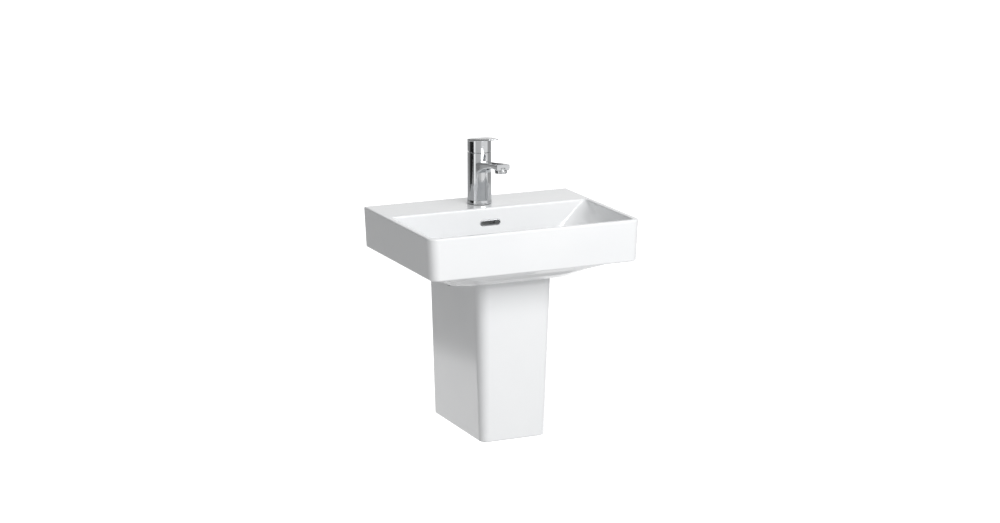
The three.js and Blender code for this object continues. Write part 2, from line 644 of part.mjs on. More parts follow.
for (const [side, sign] of SIDES) {
  place(fromRim, `supply_hose_${side}`, sweep(hoseRoute(sign), HOSE.r, 16), "braid");
  const ferrule = [[0, 2], [6, 2], [6, 11.5], [4.9, 11.5], [4.9, 23], [0, 23]];
  place(onTap, `hose_fitting_${side}`, turned(ferrule, 20), "chrome", [sign * HOSE.x, HOSE.y, 0]);

  const valve = new THREE.Group();
  valve.position.set(sign * VALVE.x, 0, VALVE.z);
  fromRim.add(valve);
  const barrel = rod(10.2, 0.4, 16).rotateX(Math.PI / 2);
  const house = [[0, 15], [12.5, 15], [13.5, 17], [13.5, 45], [12, 48], [0, 48]];
  const outlet = rod(8, 0, 21).translate(0, VALVE.axis, 0);
  const body = cut(
    join(barrel, turned(house, 20).rotateX(Math.PI / 2), outlet),
    rod(6, -1, 36, 16).rotateX(Math.PI / 2),
    rod(5, 0, 30, 16).translate(0, VALVE.axis, 0),
    rod(3.8, 34, 50, 16).rotateX(Math.PI / 2),
  );
  place(valve, `angle_valve_${side}`, body, "chrome");
  const rosette = [[10.6, 0], [25, 0], [24.4, 2.6], [15, 9], [10.6, 10], [10.6, 0]];
  place(valve, `valve_rosette_${side}`, turned(rosette).rotateX(Math.PI / 2), "chrome");
  const compression = cut(
    solid(prism(polygon(6, 19), 14, 31)),
    rod(8 + GAP, 13, 21 + GAP),
    rod(3.4, 20, 32, 12),
  );
  place(valve, `hose_nut_${side}`, compression, "chrome", [0, VALVE.axis, 0]);
  const knobShape = new THREE.Shape();
  const knobSides = 18;
  for (let i = 0; i < knobSides; i++) {
    const angle = (2 * Math.PI * i) / knobSides;
    const r = 12.6 + 1.6 * Math.cos(3 * angle);
    knobShape[i ? "lineTo" : "moveTo"](r * Math.sin(angle), r * Math.cos(angle));
  }
  const knob = join(prism(knobShape, 49, 68), rod(3.4, 38, 50, 14)).rotate([90, 0, 0]);
  place(valve, `valve_knob_${side}`, knob, "chrome");
}

// ---- waste --------------------------------------------------------------------------------------
const THREAD_R = 20.6;
const TAIL_END = -214;

function buildWasteBody() {
  const outline = [
    [17.2, TAIL_END], [THREAD_R, TAIL_END], [THREAD_R, DRAIN_SEAT + 1.6], [31, DRAIN_SEAT + 1.6],
    [31.5, DRAIN_SEAT + 2.4], [31, DRAIN_SEAT + 3.3], [24, DRAIN_SEAT + 3.2], [21.6, DRAIN_SEAT + 3],
    [18.2, DRAIN_SEAT + 0.8], [17.2, DRAIN_SEAT - 4], [17.2, TAIL_END],
  ];
  const windowHalf = 9;
  let body = cut(
    solid(turned(outline, 28)),
    box(-windowHalf, windowHalf, -30, 30, DUCT.floor + 0.5, DUCT.floor + 7.5),
  );
  const spokes = [0, 1, 2].map((i) =>
    box(6, 18.5, -1.5, 1.5, -164, -156).rotateZ((2 * Math.PI * i) / 3 + Math.PI / 6));
  for (const piece of [ring(5.3, 8.2, -166, -154, 24), ...spokes]) {
    body = body.add(solid(piece));
  }
  return body;
}

place(onDrain, "waste_body", buildWasteBody(), "chrome");
const seatSeal = ring(THREAD_R + 2 * GAP, 29, DRAIN_SEAT + GAP, DRAIN_SEAT + 1.2, 28);
place(onDrain, "waste_top_seal", seatSeal, "rubber");
const cone = [
  [THREAD_R + GAP, -156], [33, -156], [33, DRAIN_UNDER - 0.2], [24, DRAIN_UNDER - 0.2],
  [THREAD_R + GAP, DRAIN_UNDER - 0.2], [THREAD_R + GAP, -156],
];
place(onDrain, "waste_bottom_seal", turned(cone, 20), "rubber");
place(onDrain, "waste_backnut", cut(
  solid(prism(polygon(8, 58), -167, -156.3)), rod(THREAD_R + GAP, -170, -155, 28),
), "brass");
const clickUnit = [
  [3.4, -180], [5, -180], [5, -153.7], [7, -153.7], [7, -138], [3.4, -138], [3.4, -180],
];
place(onDrain, "click_cartridge", turned(clickUnit, 20), "white_plastic");

const CAP_REST = DRAIN_SEAT + 0.6;
const capOutline = [
  [0, -172], [3, -172], [3, CAP_REST], [16.6, CAP_REST], [22.6, CAP_REST + 3.8],
  [22.2, CAP_REST + 5], [12, CAP_REST + 6.6], [0, CAP_REST + 7.2],
];
place(onDrain, "waste_plug", turned(capOutline, 24), "chrome");
place(onDrain, "plug_seal", ring(13, 16.6, CAP_REST - 2.7, CAP_REST - 0.3), "rubber");

// The trim of the overflow, held in the slot of the basin.
function buildOverflowTrim() {
  const outer = SLOT.r - 0.4;
  const long = SLOT.halfWidth - 0.4;
  const frame = plan(long, outer, -outer, outer - 0.01, outer - 0.01);
  const bead = 1.6;
  const inner = outer - bead;
  frame.holes.push(plan(long - bead, inner, -inner, inner - 0.01, inner - 0.01));
  return prism(frame, 0, 7, 3).rotateX(Math.PI / 2);
}

place(fromRim, "overflow_trim", buildOverflowTrim(), "chrome", [0, -112.6, SLOT.z]);

// ---- bottle trap --------------------------------------------------------------------------------
function roundNut(bore, outer, zMin, zMax, neckBore, neckZ) {
  let body = solid(rod(outer, zMin, zMax, 24));
  for (let i = 0; i < 12; i++) {
    const angle = (2 * Math.PI * i) / 12;
    const at = [(outer + 1.2) * Math.cos(angle), (outer + 1.2) * Math.sin(angle), 0];
    body = cut(body, rod(2.2, zMin - 1, zMax + 1, 8).translate(...at));
  }
  return cut(body, rod(bore, neckZ, zMax + 1, 20), rod(neckBore, zMin - 1, zMax + 1, 20));
}

const TUBE_R = 16;
const TUBE_BORE = 14.6;
const inletNut = roundNut(THREAD_R + GAP, 27, -222, -200, TUBE_R + GAP, -217.6);
place(onDrain, "trap_inlet_nut", inletNut, "chrome");
const inletTube = [
  [TUBE_BORE, -350], [TUBE_R, -350], [TUBE_R, -217.2], [19.8, -217.2], [19.8, -215],
  [TUBE_BORE, -215], [TUBE_BORE, -350],
];
place(onDrain, "trap_inlet_tube", turned(inletTube, 20), "chrome");

function buildTrapBody() {
  const outline = [
    [TRAP_R - 3, -330], [TRAP_R - 0.4, -330], [TRAP_R - 0.4, -322], [TRAP_R + 1, -322],
    [TRAP_R + 1, -284], [TRAP_R - 4, -276], [20, -274], [20, -262], [TUBE_R + GAP, -262],
    [TUBE_R + GAP, -278],
    [TRAP_R - 3, -282], [TRAP_R - 3, -330],
  ];
  const stub = rod(18, 20, 46, 20).rotateX(-Math.PI / 2).translate(0, 0, OUTLET_Z);
  const bore = rod(14, 20, 48, 20).rotateX(-Math.PI / 2).translate(0, 0, OUTLET_Z);
  const inside = rod(TRAP_R - 3, -331, -284, 24);
  return cut(solid(turned(outline, 24)).add(solid(stub)), inside, bore);
}

place(onDrain, "trap_body", buildTrapBody(), "chrome");
place(onDrain, "trap_neck_nut", cut(
  solid(prism(polygon(12, 50), -270, -256)),
  rod(20 + GAP, -280, -259.5, 20),
  rod(TUBE_R + GAP, -262, -250, 20),
), "chrome");

const cup = [
  [0, -384], [20, -384], [27, -381], [TRAP_R + 1, -374], [TRAP_R + 2.6, -362],
  [TRAP_R + 2.6, -322.8],
  [TRAP_R, -322.8], [TRAP_R, -331.2], [TRAP_R - 1.4, -331.2], [TRAP_R - 1.4, -372], [24, -378],
  [0, -379],
];
place(onDrain, "trap_cup", turned(cup, 24), "chrome");

const outlet = new THREE.Group();
outlet.position.set(0, 0, OUTLET_Z);
outlet.rotation.x = Math.PI / 2; // +Z runs out of the wall
fromRim.add(outlet);
place(outlet, "trap_outlet_tube", ring(TUBE_BORE, TUBE_R, 0.4, 121), "chrome");
place(outlet, "trap_outlet_nut", cut(
  solid(prism(polygon(12, 44), 110, 132)),
  rod(18 + GAP, 121.6, 133, 20),
  rod(TUBE_R + GAP, 109, 123, 20),
), "chrome");
const wallFlange = [
  [TUBE_R + 0.5, 0], [32, 0], [31.2, 3], [20, 9.5], [TUBE_R + 0.5, 10.5], [TUBE_R + 0.5, 0],
];
place(outlet, "trap_wall_flange", turned(wallFlange, 24), "chrome");

export default sink;
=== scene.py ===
import math

import bmesh
import bpy
from mathutils import Matrix, Vector


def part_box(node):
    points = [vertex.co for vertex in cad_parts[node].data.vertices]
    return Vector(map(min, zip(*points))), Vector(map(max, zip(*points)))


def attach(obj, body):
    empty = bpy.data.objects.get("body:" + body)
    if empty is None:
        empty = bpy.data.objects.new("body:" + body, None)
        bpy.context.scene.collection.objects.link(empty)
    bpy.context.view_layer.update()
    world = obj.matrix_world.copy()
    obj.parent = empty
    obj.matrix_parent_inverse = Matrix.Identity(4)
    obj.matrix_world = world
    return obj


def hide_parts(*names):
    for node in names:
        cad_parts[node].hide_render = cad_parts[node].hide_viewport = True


MM = 0.001
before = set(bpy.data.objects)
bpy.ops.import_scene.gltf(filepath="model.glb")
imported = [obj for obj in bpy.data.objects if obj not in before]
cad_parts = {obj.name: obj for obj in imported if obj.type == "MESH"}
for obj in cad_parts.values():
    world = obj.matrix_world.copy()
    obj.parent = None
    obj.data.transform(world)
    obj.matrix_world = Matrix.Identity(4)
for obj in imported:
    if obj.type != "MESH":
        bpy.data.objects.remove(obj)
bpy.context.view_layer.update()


def middle(node):
    low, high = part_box(node)
    return (low + high) / 2


# ---- places -------------------------------------------------------------------------------------
RIM_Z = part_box("basin")[1].z
ON_RIM = Matrix.Translation((0, 0, RIM_Z))
ON_TAP = Matrix.Translation((0, middle("cartridge").y, RIM_Z))
ON_DRAIN = Matrix.Translation((0, middle("waste_plug").y, RIM_Z))
OUT_OF_WALL = Matrix.Rotation(math.pi / 2, 4, "X")  # turns +Z to point out of the wall


def out_of_wall(node):
    place = middle(node)
    return Matrix.Translation((place.x, 0, place.z)) @ OUT_OF_WALL


TAP_Y = ON_TAP.translation.y / MM
PIVOT_Z = 84.5
SPINDLE_LEAN = math.radians(10)
ON_SPINDLE = ON_TAP @ Matrix.Translation((0, 0, PIVOT_Z * MM)) @ Matrix.Rotation(SPINDLE_LEAN, 4, "X")
SIDES = (("left", -1), ("right", 1))

# ---- camera -------------------------------------------------------------------------------------
AZIMUTH = math.radians(-24.46)
ELEVATION = math.radians(13.10)
FOCAL_LENGTH = 96.22  # on a sensor 36 mm wide
CAMERA_FROM_RIM = Vector((-2.1441, -4.8789, 1.1051))


def add_camera():
    flat = math.cos(ELEVATION)
    back = Vector((math.sin(AZIMUTH) * flat, -math.cos(AZIMUTH) * flat, math.sin(ELEVATION)))
    data = bpy.data.cameras.new("camera")
    data.lens = FOCAL_LENGTH
    data.sensor_width = 36
    data.clip_end = 200
    camera = bpy.data.objects.new("camera", data)
    bpy.context.scene.collection.objects.link(camera)
    camera.location = CAMERA_FROM_RIM + Vector((0, 0, RIM_Z))
    camera.rotation_euler = back.to_track_quat("Z", "Y").to_euler()
    bpy.context.scene.camera = camera


add_camera()


# ---- materials ----------------------------------------------------------------------------------
def add_node(tree, kind, *in_order, **named):
    """Adds a node and sets or links its inputs, in their order or by name."""
    node = tree.nodes.new("ShaderNode" + kind)
    given = list(zip(node.inputs, in_order))
    given += [(node.inputs[name.replace("_", " ")], value) for name, value in named.items()]
    for target, value in given:
        if isinstance(value, bpy.types.NodeSocket):
            tree.links.new(value, target)
        else:
            target.default_value = value
    return node


def maths(tree, operation, *values):
    node = add_node(tree, "Math", *values)
    node.operation = operation
    return node.outputs["Value"]


class Look:
    """A material under construction: a Principled shader fed by procedural texture nodes."""

    def __init__(self, name, roughness_range, metallic=0.0, **sockets):
        self.material = bpy.data.materials.new(name)
        self.material.use_nodes = True
        self.tree = self.material.node_tree
        self.shader = self.tree.nodes["Principled BSDF"]
        self.shader.inputs["Metallic"].default_value = metallic
        for socket, value in sockets.items():
            self.shader.inputs[socket.replace("_", " ")].default_value = value
        self.roughness_range = roughness_range
        self.where = self.tree.nodes.new("ShaderNodeTexCoord").outputs["Object"]
        self.normal = None

    def node(self, kind, **inputs):
        return add_node(self.tree, kind, **inputs)

    def stretched(self, scale):
        return self.node("Mapping", Vector=self.where, Scale=scale).outputs["Vector"]

    def noise(self, scale, detail=2.0, where=None):
        return self.node("TexNoise", Vector=where or self.where, Scale=scale, Detail=detail).outputs["Fac"]

    def between(self, share, low, high, span=(0.3, 0.7)):
        """Maps a value that runs over a span to a range."""
        return add_node(self.tree, "MapRange", share, *span, low, high).outputs["Result"]

    def colour(self, share, *stops):
        ramp = self.node("ValToRGB", Fac=share)
        elements = ramp.color_ramp.elements
        while len(elements) < len(stops):
            elements.new(0.5)
        for element, (position, rgb) in zip(elements, stops):
            element.position = position
            element.color = (*rgb, 1)
        self.tree.links.new(ramp.outputs["Color"], self.shader.inputs["Base Color"])

    def roughness(self, share):
        value = self.between(share, *self.roughness_range)
        self.tree.links.new(value, self.shader.inputs["Roughness"])

    def bump(self, height, distance, strength=1.0):
        inputs = {"Height": height, "Distance": distance, "Strength": strength}
        if self.normal:
            inputs["Normal"] = self.normal
        self.normal = self.node("Bump", **inputs).outputs["Normal"]
        self.tree.links.new(self.normal, self.shader.inputs["Normal"])


def glazed_ceramic():
    look = Look("glazed_ceramic", (0.07, 0.15), Coat_Weight=0.35, Coat_Roughness=0.04, Coat_IOR=1.5)
    cloud = look.noise(5, 3)
    look.colour(cloud, (0.3, (0.795, 0.805, 0.815)), (0.7, (0.825, 0.832, 0.838)))
    look.roughness(look.noise(22, 4))
    look.bump(look.noise(90, 2), 0.00012)
    look.bump(look.noise(900, 1), 0.000006)
    return look.material


def chrome_plate():
    look = Look("chrome_plate", (0.035, 0.09), metallic=1.0)
    look.colour(look.noise(60, 3), (0.3, (0.72, 0.735, 0.75)), (0.7, (0.78, 0.79, 0.80)))
    look.roughness(look.noise(160, 5))
    look.bump(look.noise(220, 2), 0.000012)
    return look.material


def turned_metal(name, dark, bright, roughness_range):
    look = Look(name, roughness_range, metallic=1.0)
    patches = look.noise(140, 5)
    look.colour(patches, (0.25, dark), (0.75, bright))
    look.roughness(look.noise(400, 6))
    look.bump(look.noise(1.0, 3, look.stretched((300, 300, 5200))), 0.00004)
    return look.material


def moulded(name, dark, bright, roughness_range, grain, depth):
    look = Look(name, roughness_range)
    look.colour(look.noise(70, 4), (0.3, dark), (0.7, bright))
    look.roughness(look.noise(260, 4))
    look.bump(look.noise(grain, 3), depth)
    return look.material


def woven_braid():
    """Steel strands that cross, with painted shade in the gaps between them, laid out along the tube by its
    UV map.
    """
    look = Look("woven_braid", (0.24, 0.46), metallic=1.0)
    uv = look.tree.nodes.new("ShaderNodeUVMap")
    uv.uv_map = "along"
    strands = []
    for turn in (math.pi / 4, -math.pi / 4):
        turned_uv = look.node("Mapping", Vector=uv.outputs["UV"], Rotation=(0, 0, turn))
        wave = look.node("TexWave", Vector=turned_uv.outputs["Vector"], Scale=1.6)
        strands.append(wave.outputs["Fac"])
    crossing = maths(look.tree, "MAXIMUM", *strands)
    # The dark stop is painted shade in the gaps between the strands; the bright stop is the steel of their
    # crests.
    look.colour(crossing, (0.2, (0.16, 0.165, 0.17)), (0.85, (0.66, 0.67, 0.68)))
    look.roughness(look.noise(700, 3))
    look.bump(crossing, 0.00025)
    return look.material


def grey(level):
    return (level, level, level)


LOOKS = {
    "ceramic": glazed_ceramic(),
    "chrome": chrome_plate(),
    "steel": turned_metal("zinc_plated_steel", (0.42, 0.43, 0.44), (0.60, 0.61, 0.62), (0.26, 0.42)),
    "brass": turned_metal("turned_brass", (0.50, 0.36, 0.15), (0.68, 0.51, 0.24), (0.22, 0.40)),
    "braided_steel": woven_braid(),
    "rubber": moulded(
        "black_rubber", (0.018, 0.018, 0.019), (0.035, 0.035, 0.037), (0.6, 0.85), 1200, 0.00003,
    ),
    "white_plastic": moulded(
        "white_nylon", (0.72, 0.72, 0.70), (0.80, 0.80, 0.78), (0.35, 0.5), 900, 0.00001,
    ),
    "grey_plastic": moulded(
        "grey_acetal", (0.13, 0.135, 0.14), (0.18, 0.185, 0.19), (0.35, 0.55), 900, 0.00001,
    ),
    "index_enamel": moulded(
        "index_enamel", (0.36, 0.40, 0.45), (0.42, 0.46, 0.51), (0.15, 0.3), 800, 0.000008,
    ),
}


# ---- meshes -------------------------------------------------------------------------------------
CREASE = math.radians(32)  # sharper edges than this stay crisp


def shape(vertices, faces):
    """A scratch object in millimetres, with its faces turned outwards."""
    mesh = bpy.data.meshes.new("shape")
    mesh.from_pydata([tuple(v) for v in vertices], [], faces)
    work = bmesh.new()
    work.from_mesh(mesh)
    bmesh.ops.recalc_face_normals(work, faces=work.faces)
    work.to_mesh(mesh)
    work.free()
    made = bpy.data.objects.new("shape", mesh)
    bpy.context.scene.collection.objects.link(made)
    return made


def turned(profile, segments=64):
    """A solid turned about +Z from (radius, z) pairs. A profile that ends where it starts makes a ring."""
    hollow = profile[0] == profile[-1]
    points = profile[:-1] if hollow else profile
    vertices = []
    rows = []
    for r, z in points:
        count = segments if r > 0 else 1
        rows.append([len(vertices) + i for i in range(count)])
        turns = [2 * math.pi * i / count for i in range(count)]
        vertices += [(r * math.cos(turn), r * math.sin(turn), z) for turn in turns]
    pairs = list(zip(rows, rows[1:]))
    if hollow:
        pairs.append((rows[-1], rows[0]))
    faces = []
    for low, high in pairs:
        for i in range(segments):
            j = (i + 1) % segments
            corners = [low[i % len(low)], low[j % len(low)], high[j % len(high)], high[i % len(high)]]
            face = list(dict.fromkeys(corners))
            if len(face) > 2:
                faces.append(face)
    return shape(vertices, faces)


def rounded(profile, fillet, steps=4):
    """Rounds the inner corners of a profile."""
    hollow = profile[0] == profile[-1]
    points = [Vector(p) for p in (profile[:-1] if hollow else profile)]
    result = [] if hollow else [points[0]]
    for i in range(0 if hollow else 1, len(points) - (0 if hollow else 1)):
        here = points[i]
        arms = [points[i - 1] - here, points[(i + 1) % len(points)] - here]
        reach = min(fillet, 0.45 * arms[0].length, 0.45 * arms[1].length)
        start, end = (here + arm.normalized() * reach for arm in arms)
        for step in range(steps + 1):
            t = step / steps
            result.append(start.lerp(here, t).lerp(here.lerp(end, t), t))
    result.append(result[0] if hollow else points[-1])
    return [tuple(p) for p in result]


def smooth_turned(profile, fillet=0.5, segments=64):
    return turned(rounded(profile, fillet), segments)


def rod(r, low, high, segments=48):
    return turned([(0, low), (r, low), (r, high), (0, high)], segments)


def thread(r, low, high, pitch=1.5, depth=0.6):
    """Profile points of a thread, from low to high."""
    count = max(2, round((high - low) / pitch))
    step = (high - low) / count
    points = []
    for i in range(count):
        points += [(r - depth, low + i * step), (r, low + (i + 0.5) * step)]
    return points + [(r - depth, high)]


def box(x, y, z):
    """A block from three (low, high) pairs."""
    corners = [(x[i], y[j], z[k]) for i in (0, 1) for j in (0, 1) for k in (0, 1)]
    faces = [(0, 1, 3, 2), (4, 6, 7, 5), (0, 4, 5, 1), (2, 3, 7, 6), (0, 2, 6, 4), (1, 5, 7, 3)]
    return shape(corners, faces)


def loft(rings):
    """Skins a stack of rings, each with the same number of points, and closes both ends."""
    count = len(rings[0])
    vertices = [point for ring in rings for point in ring]
    faces = [range(count), range((len(rings) - 1) * count, len(rings) * count)]
    for level in range(len(rings) - 1):
        for i in range(count):
            a, b = level * count + i, level * count + (i + 1) % count
            faces.append((a, b, b + count, a + count))
    return shape(vertices, [tuple(face) for face in faces])


def prism(outline, low, high):
    return loft([[(x, y, z) for x, y in outline] for z in (low, high)])


def polygon(sides, across_flats):
    r = across_flats / 2 / math.cos(math.pi / sides)
    turns = [2 * math.pi * i / sides for i in range(sides)]
    return [(r * math.cos(turn), r * math.sin(turn)) for turn in turns]


def plan(half_width, back, front, radius, back_radius=None, stretch=1.0, corner=12, side=10):
    """A rectangle with rounded corners, counter-clockwise. A stretch over 1 makes ellipses of them."""
    corners = [
        (1, back, -1, back_radius or radius), (-1, back, -1, back_radius or radius),
        (-1, front, 1, radius), (1, front, 1, radius),
    ]
    arcs = []
    for turn, (sign, end, inward, r) in enumerate(corners):
        x, y = sign * (half_width - r), end + inward * r * stretch
        turns = [(turn + step / corner) * math.pi / 2 for step in range(corner + 1)]
        arcs.append([Vector((x + r * math.cos(a), y + r * stretch * math.sin(a))) for a in turns])
    outline = []
    for arc, following in zip(arcs, arcs[1:] + arcs[:1]):
        outline += arc
        outline += [arc[-1].lerp(following[0], step / side) for step in range(1, side)]
    return outline


def moved(made, *steps):
    for step in steps:
        made.data.transform(step)
    return made


def shift(x=0.0, y=0.0, z=0.0):
    return Matrix.Translation((x, y, z))


def turn_about(axis, angle):
    return Matrix.Rotation(angle, 4, axis)


def combine(base, *tools, how="DIFFERENCE"):
    """Cuts the tools from the base, or joins them to it, and removes them."""
    for tool in tools:
        modifier = base.modifiers.new("combine", "BOOLEAN")
        modifier.operation = how
        modifier.solver = "EXACT"
        modifier.object = tool
    settled = bpy.data.meshes.new_from_object(base.evaluated_get(bpy.context.evaluated_depsgraph_get()))
    base.modifiers.clear()
    base.data = settled
    for tool in tools:
        bpy.data.objects.remove(tool)
    return base


def joined(base, *tools):
    return combine(base, *tools, how="UNION")


def piece(made, name, nodes, slot, place=ON_RIM, body="fixed", bevel=0.0):
    """Finishes a scratch shape: names it, puts it in place and makes it stand for its CAD nodes."""
    made.name = name
    made.data.name = name
    made.data.transform(place @ Matrix.Scale(MM, 4))
    made.data.shade_smooth()
    made.data.materials.clear()
    made.data.materials.append(LOOKS[slot])
    if bevel:
        edges = made.modifiers.new("edges", "BEVEL")
        edges.width = bevel * MM
        edges.segments = 2
        edges.limit_method = "ANGLE"
        edges.angle_limit = CREASE
    made.data.set_sharp_from_angle(angle=CREASE)
    weighted = made.modifiers.new("shading", "WEIGHTED_NORMAL")
    weighted.keep_sharp = True
    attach(made, body)
    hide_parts(*nodes)
    return made


# ---- hoses --------------------------------------------------------------------------------------
HOSE = {"x": 8, "y": 4, "r": 5.5, "top": 1.7}
VALVE = {"x": 40, "z": -250, "axis": -35}
HOSE_END = VALVE["z"] + 31.3
KNOT = 0.25  # centripetal spacing, on squared distances


def curve_points(route, per_span):
    """A centripetal Catmull-Rom curve through the points of a route."""
    points = [Vector(p) for p in route]
    padded = [2 * points[0] - points[1], *points, 2 * points[-1] - points[-2]]
    result = []
    for a, b, c, d in zip(padded, padded[1:], padded[2:], padded[3:]):
        gaps = [(q - p).length_squared ** KNOT for p, q in ((a, b), (b, c), (c, d))]
        start = ((b - a) / gaps[0] - (c - a) / (gaps[0] + gaps[1]) + (c - b) / gaps[1]) * gaps[1]
        end = ((c - b) / gaps[1] - (d - b) / (gaps[1] + gaps[2]) + (d - c) / gaps[2]) * gaps[1]
        for step in range(per_span):
            t = step / per_span
            result.append(
                b + start * t + (3 * (c - b) - 2 * start - end) * t**2 + (2 * (b - c) + start + end) * t**3
            )
    return result + [points[-1]]


def hose_route(sign):
    return [
        (sign * x, y, z) for x, y, z in (
            (HOSE["x"], TAP_Y + HOSE["y"], HOSE["top"]), (HOSE["x"], TAP_Y + HOSE["y"], -20),
            (HOSE["x"] + 0.4, TAP_Y + 4.2, -45), (HOSE["x"] + 4, TAP_Y + 6, -75),
            (HOSE["x"] + 12, TAP_Y + 11, -110), (HOSE["x"] + 22, TAP_Y + 19, -145),
            (VALVE["x"] - 2.6, VALVE["axis"] - 3.5, -175), (VALVE["x"] - 0.2, VALVE["axis"] - 0.4, -200),
            (VALVE["x"], VALVE["axis"], HOSE_END),
        )
    ]


BRAID = {"strands": 10, "sides": 60, "per_span": 40, "swell": 0.22}


def braided_tube(path, r):
    """A closed tube along a path, with its skin raised where strands cross, and a UV map in turns."""
    sides, strands = BRAID["sides"], BRAID["strands"]
    round_tube = 2 * math.pi * r
    vertices = []
    run = 0.0
    runs = []
    across = Vector((1, 0, 0))
    for i, here in enumerate(path):
        ahead = (path[min(i + 1, len(path) - 1)] - path[max(i - 1, 0)]).normalized()
        across = (across - ahead * across.dot(ahead)).normalized()
        other = ahead.cross(across)
        run += (here - path[i - 1]).length if i else 0
        runs.append(run)
        along = run / r
        for k in range(sides):
            turn = 2 * math.pi * k / sides
            crossing = math.cos(strands * (turn + along) / 2) * math.cos(strands * (turn - along) / 2)
            reach = r - BRAID["swell"] * (1 - abs(crossing))
            vertices.append(here + (across * math.cos(turn) + other * math.sin(turn)) * reach)
    rings = [vertices[i:i + sides] for i in range(0, len(vertices), sides)]
    made = loft(rings)
    layer = made.data.uv_layers.new(name="along")
    for face in made.data.polygons:
        turns = [made.data.loops[i].vertex_index % sides for i in face.loop_indices]
        wraps = max(turns) - min(turns) > sides / 2
        for index, k in zip(face.loop_indices, turns):
            level = made.data.loops[index].vertex_index // sides
            u = k + sides if wraps and k == 0 else k
            layer.data[index].uv = (u / sides * strands, runs[level] / round_tube * strands)
    return made


def add_hoses():
    for side, sign in SIDES:
        route = curve_points(hose_route(sign), BRAID["per_span"])
        tube = braided_tube(route, HOSE["r"])
        hose = piece(tube, f"braided_hose_{side}", [f"supply_hose_{side}"], "braided_steel")
        fitting = [
            (0, 2), (6, 2), (6, 6), (5.6, 6.6), (6, 7.2), (6, 11.5), (4.9, 11.5),
            *thread(4.9, 12, 22.6, 1.1, 0.4), (0, 23),
        ]
        place = ON_TAP @ Matrix.Translation(Vector((sign * HOSE["x"], HOSE["y"], 0)) * MM)
        piece(turned(fitting, 48), f"hose_ferrule_{side}", [f"hose_fitting_{side}"], "chrome", place)


add_hoses()

# ---- basin --------------------------------------------------------------------------------------
BASIN = {"half_width": 225, "depth": 340, "height": 83.5, "taper": 4.4, "wall": 13.5}
CORNER = {"front": 19, "back": 4}
EDGE_R = 3.5
LIP_R = 4
DECK_FRONT = -115.5
TILT_FROM = -200
UNDERSIDE_TILT = 0.2235
SLOT = {"z": -30, "half_width": 22.5, "r": 6}
DRAIN_SEAT = -127
DRAIN_UNDER = -148
DUCT = {"half_width": 20, "back": -91, "front": -100, "top": -20, "floor": -143, "port": 11, "wall": 4.5}

# Rings from the lip down: height, half width, back, front, front and back corner radius, stretch of the
# corners, tilt.
BOWL = [
    (-4, 213, -115.5, -328, 9, 9, 1, 0),
    (-17, 211, -117, -326, 22, 22, 3, 0),
    (-34, 208, -119, -324, 40, 40, 2.4, 0),
    (-50, 205, -121, -321, 60, 60, 1.6, 0),
    (-66, 198, -122.5, -315, 72, 72, 1.3, 0),
    (-80, 184, -124, -306, 78, 78, 1.15, 0),
    (-92, 160, -125.5, -296, 76, 76, 1.08, 0.04),
    (-103, 132, -127.5, -284, 70, 70, 1, 0.08),
    (-112, 103, -130, -270, 60, 60, 1, 0.11),
    (-118, 74, -134, -252, 48, 48, 1, 0.14),
    (-120.5, 45, -141, -225, 36, 36, 1, 0.14),
]
BELLY = [
    (-84, 205, -100, -322, 45, 50, 1, 0),
    (-98, 180, -100, -310, 40, 92, 1, 0.05),
    (-113, 157, -100, -302, 52, 90, 1, 0.14),
    (-125, 130, -100, -295, 58, 112, 1, 0.2),
    (-130.5, 115, -100, -287, 45, 103, 1, UNDERSIDE_TILT),
    (-132.5, 106, -104, -282, 46, 92, 1, UNDERSIDE_TILT),
]


def between_rings(rings, steps):
    """More rings between the given ones, on a smooth curve through them."""
    padded = [rings[0], *rings, rings[-1]]
    result = []
    for a, b, c, d in zip(padded, padded[1:], padded[2:], padded[3:]):
        for step in range(steps):
            t = step / steps
            result.append(tuple(
                0.5 * (
                    2 * q + (r - p) * t + (2 * p - 5 * q + 4 * r - s) * t**2
                    + (3 * q - p - 3 * r + s) * t**3
                ) for p, q, r, s in zip(a, b, c, d)
            ))
    return result + [rings[-1]]


def at_height(ring):
    z, half_width, back, front, radius, back_radius, stretch, tilt = ring
    outline = plan(half_width, back, front, radius, back_radius, stretch)
    return [(p.x, p.y, z + tilt * (TILT_FROM - p.y)) for p in outline]


def grown(ring, by, z):
    """The same ring, wider all round by a distance, at another height."""
    _, half_width, back, front, radius, back_radius, stretch, tilt = ring
    return at_height(
        (z, half_width + by, back + by, front - by, radius + by, back_radius + by, stretch, tilt),
    )


def quarter(radius, steps=5):
    """Pairs of (distance in, distance along) round a quarter circle, from its side to its top."""
    turns = [step / steps * math.pi / 2 for step in range(steps + 1)]
    return [(radius * (1 - math.cos(a)), radius * math.sin(a)) for a in turns]


def block_ring(z, inset):
    lean = -z / BASIN["height"] * BASIN["taper"]
    outline = plan(
        BASIN["half_width"] - inset, -inset, -BASIN["depth"] + inset,
        CORNER["front"] - inset, back_radius=max(CORNER["back"] - inset, 0.5),
    )
    return [(p.x * (1 - lean / BASIN["half_width"]), p.y, z) for p in outline]


def basin_skin():
    """One skin: up the belly, out under the block, up its sides, over the rim and down into the bowl."""
    rings = [at_height(ring) for ring in reversed(between_rings(BELLY, 5)[1:])]
    foot = -BASIN["height"]
    rings += [grown(BELLY[0], by, foot + z) for by, z in ((0, -1.6), (0.5, -0.7), (1.4, -0.2), (3, 0))]
    edge = quarter(EDGE_R)
    rings += [block_ring(foot + EDGE_R - along, inset) for inset, along in reversed(edge)]
    rings += [block_ring(-EDGE_R + along, inset) for inset, along in edge]
    rings += [grown(BOWL[0], by, BOWL[0][0] + along) for by, along in reversed(quarter(LIP_R))]
    rings += [at_height(ring) for ring in between_rings(BOWL, 6)[1:]]
    return loft(rings)


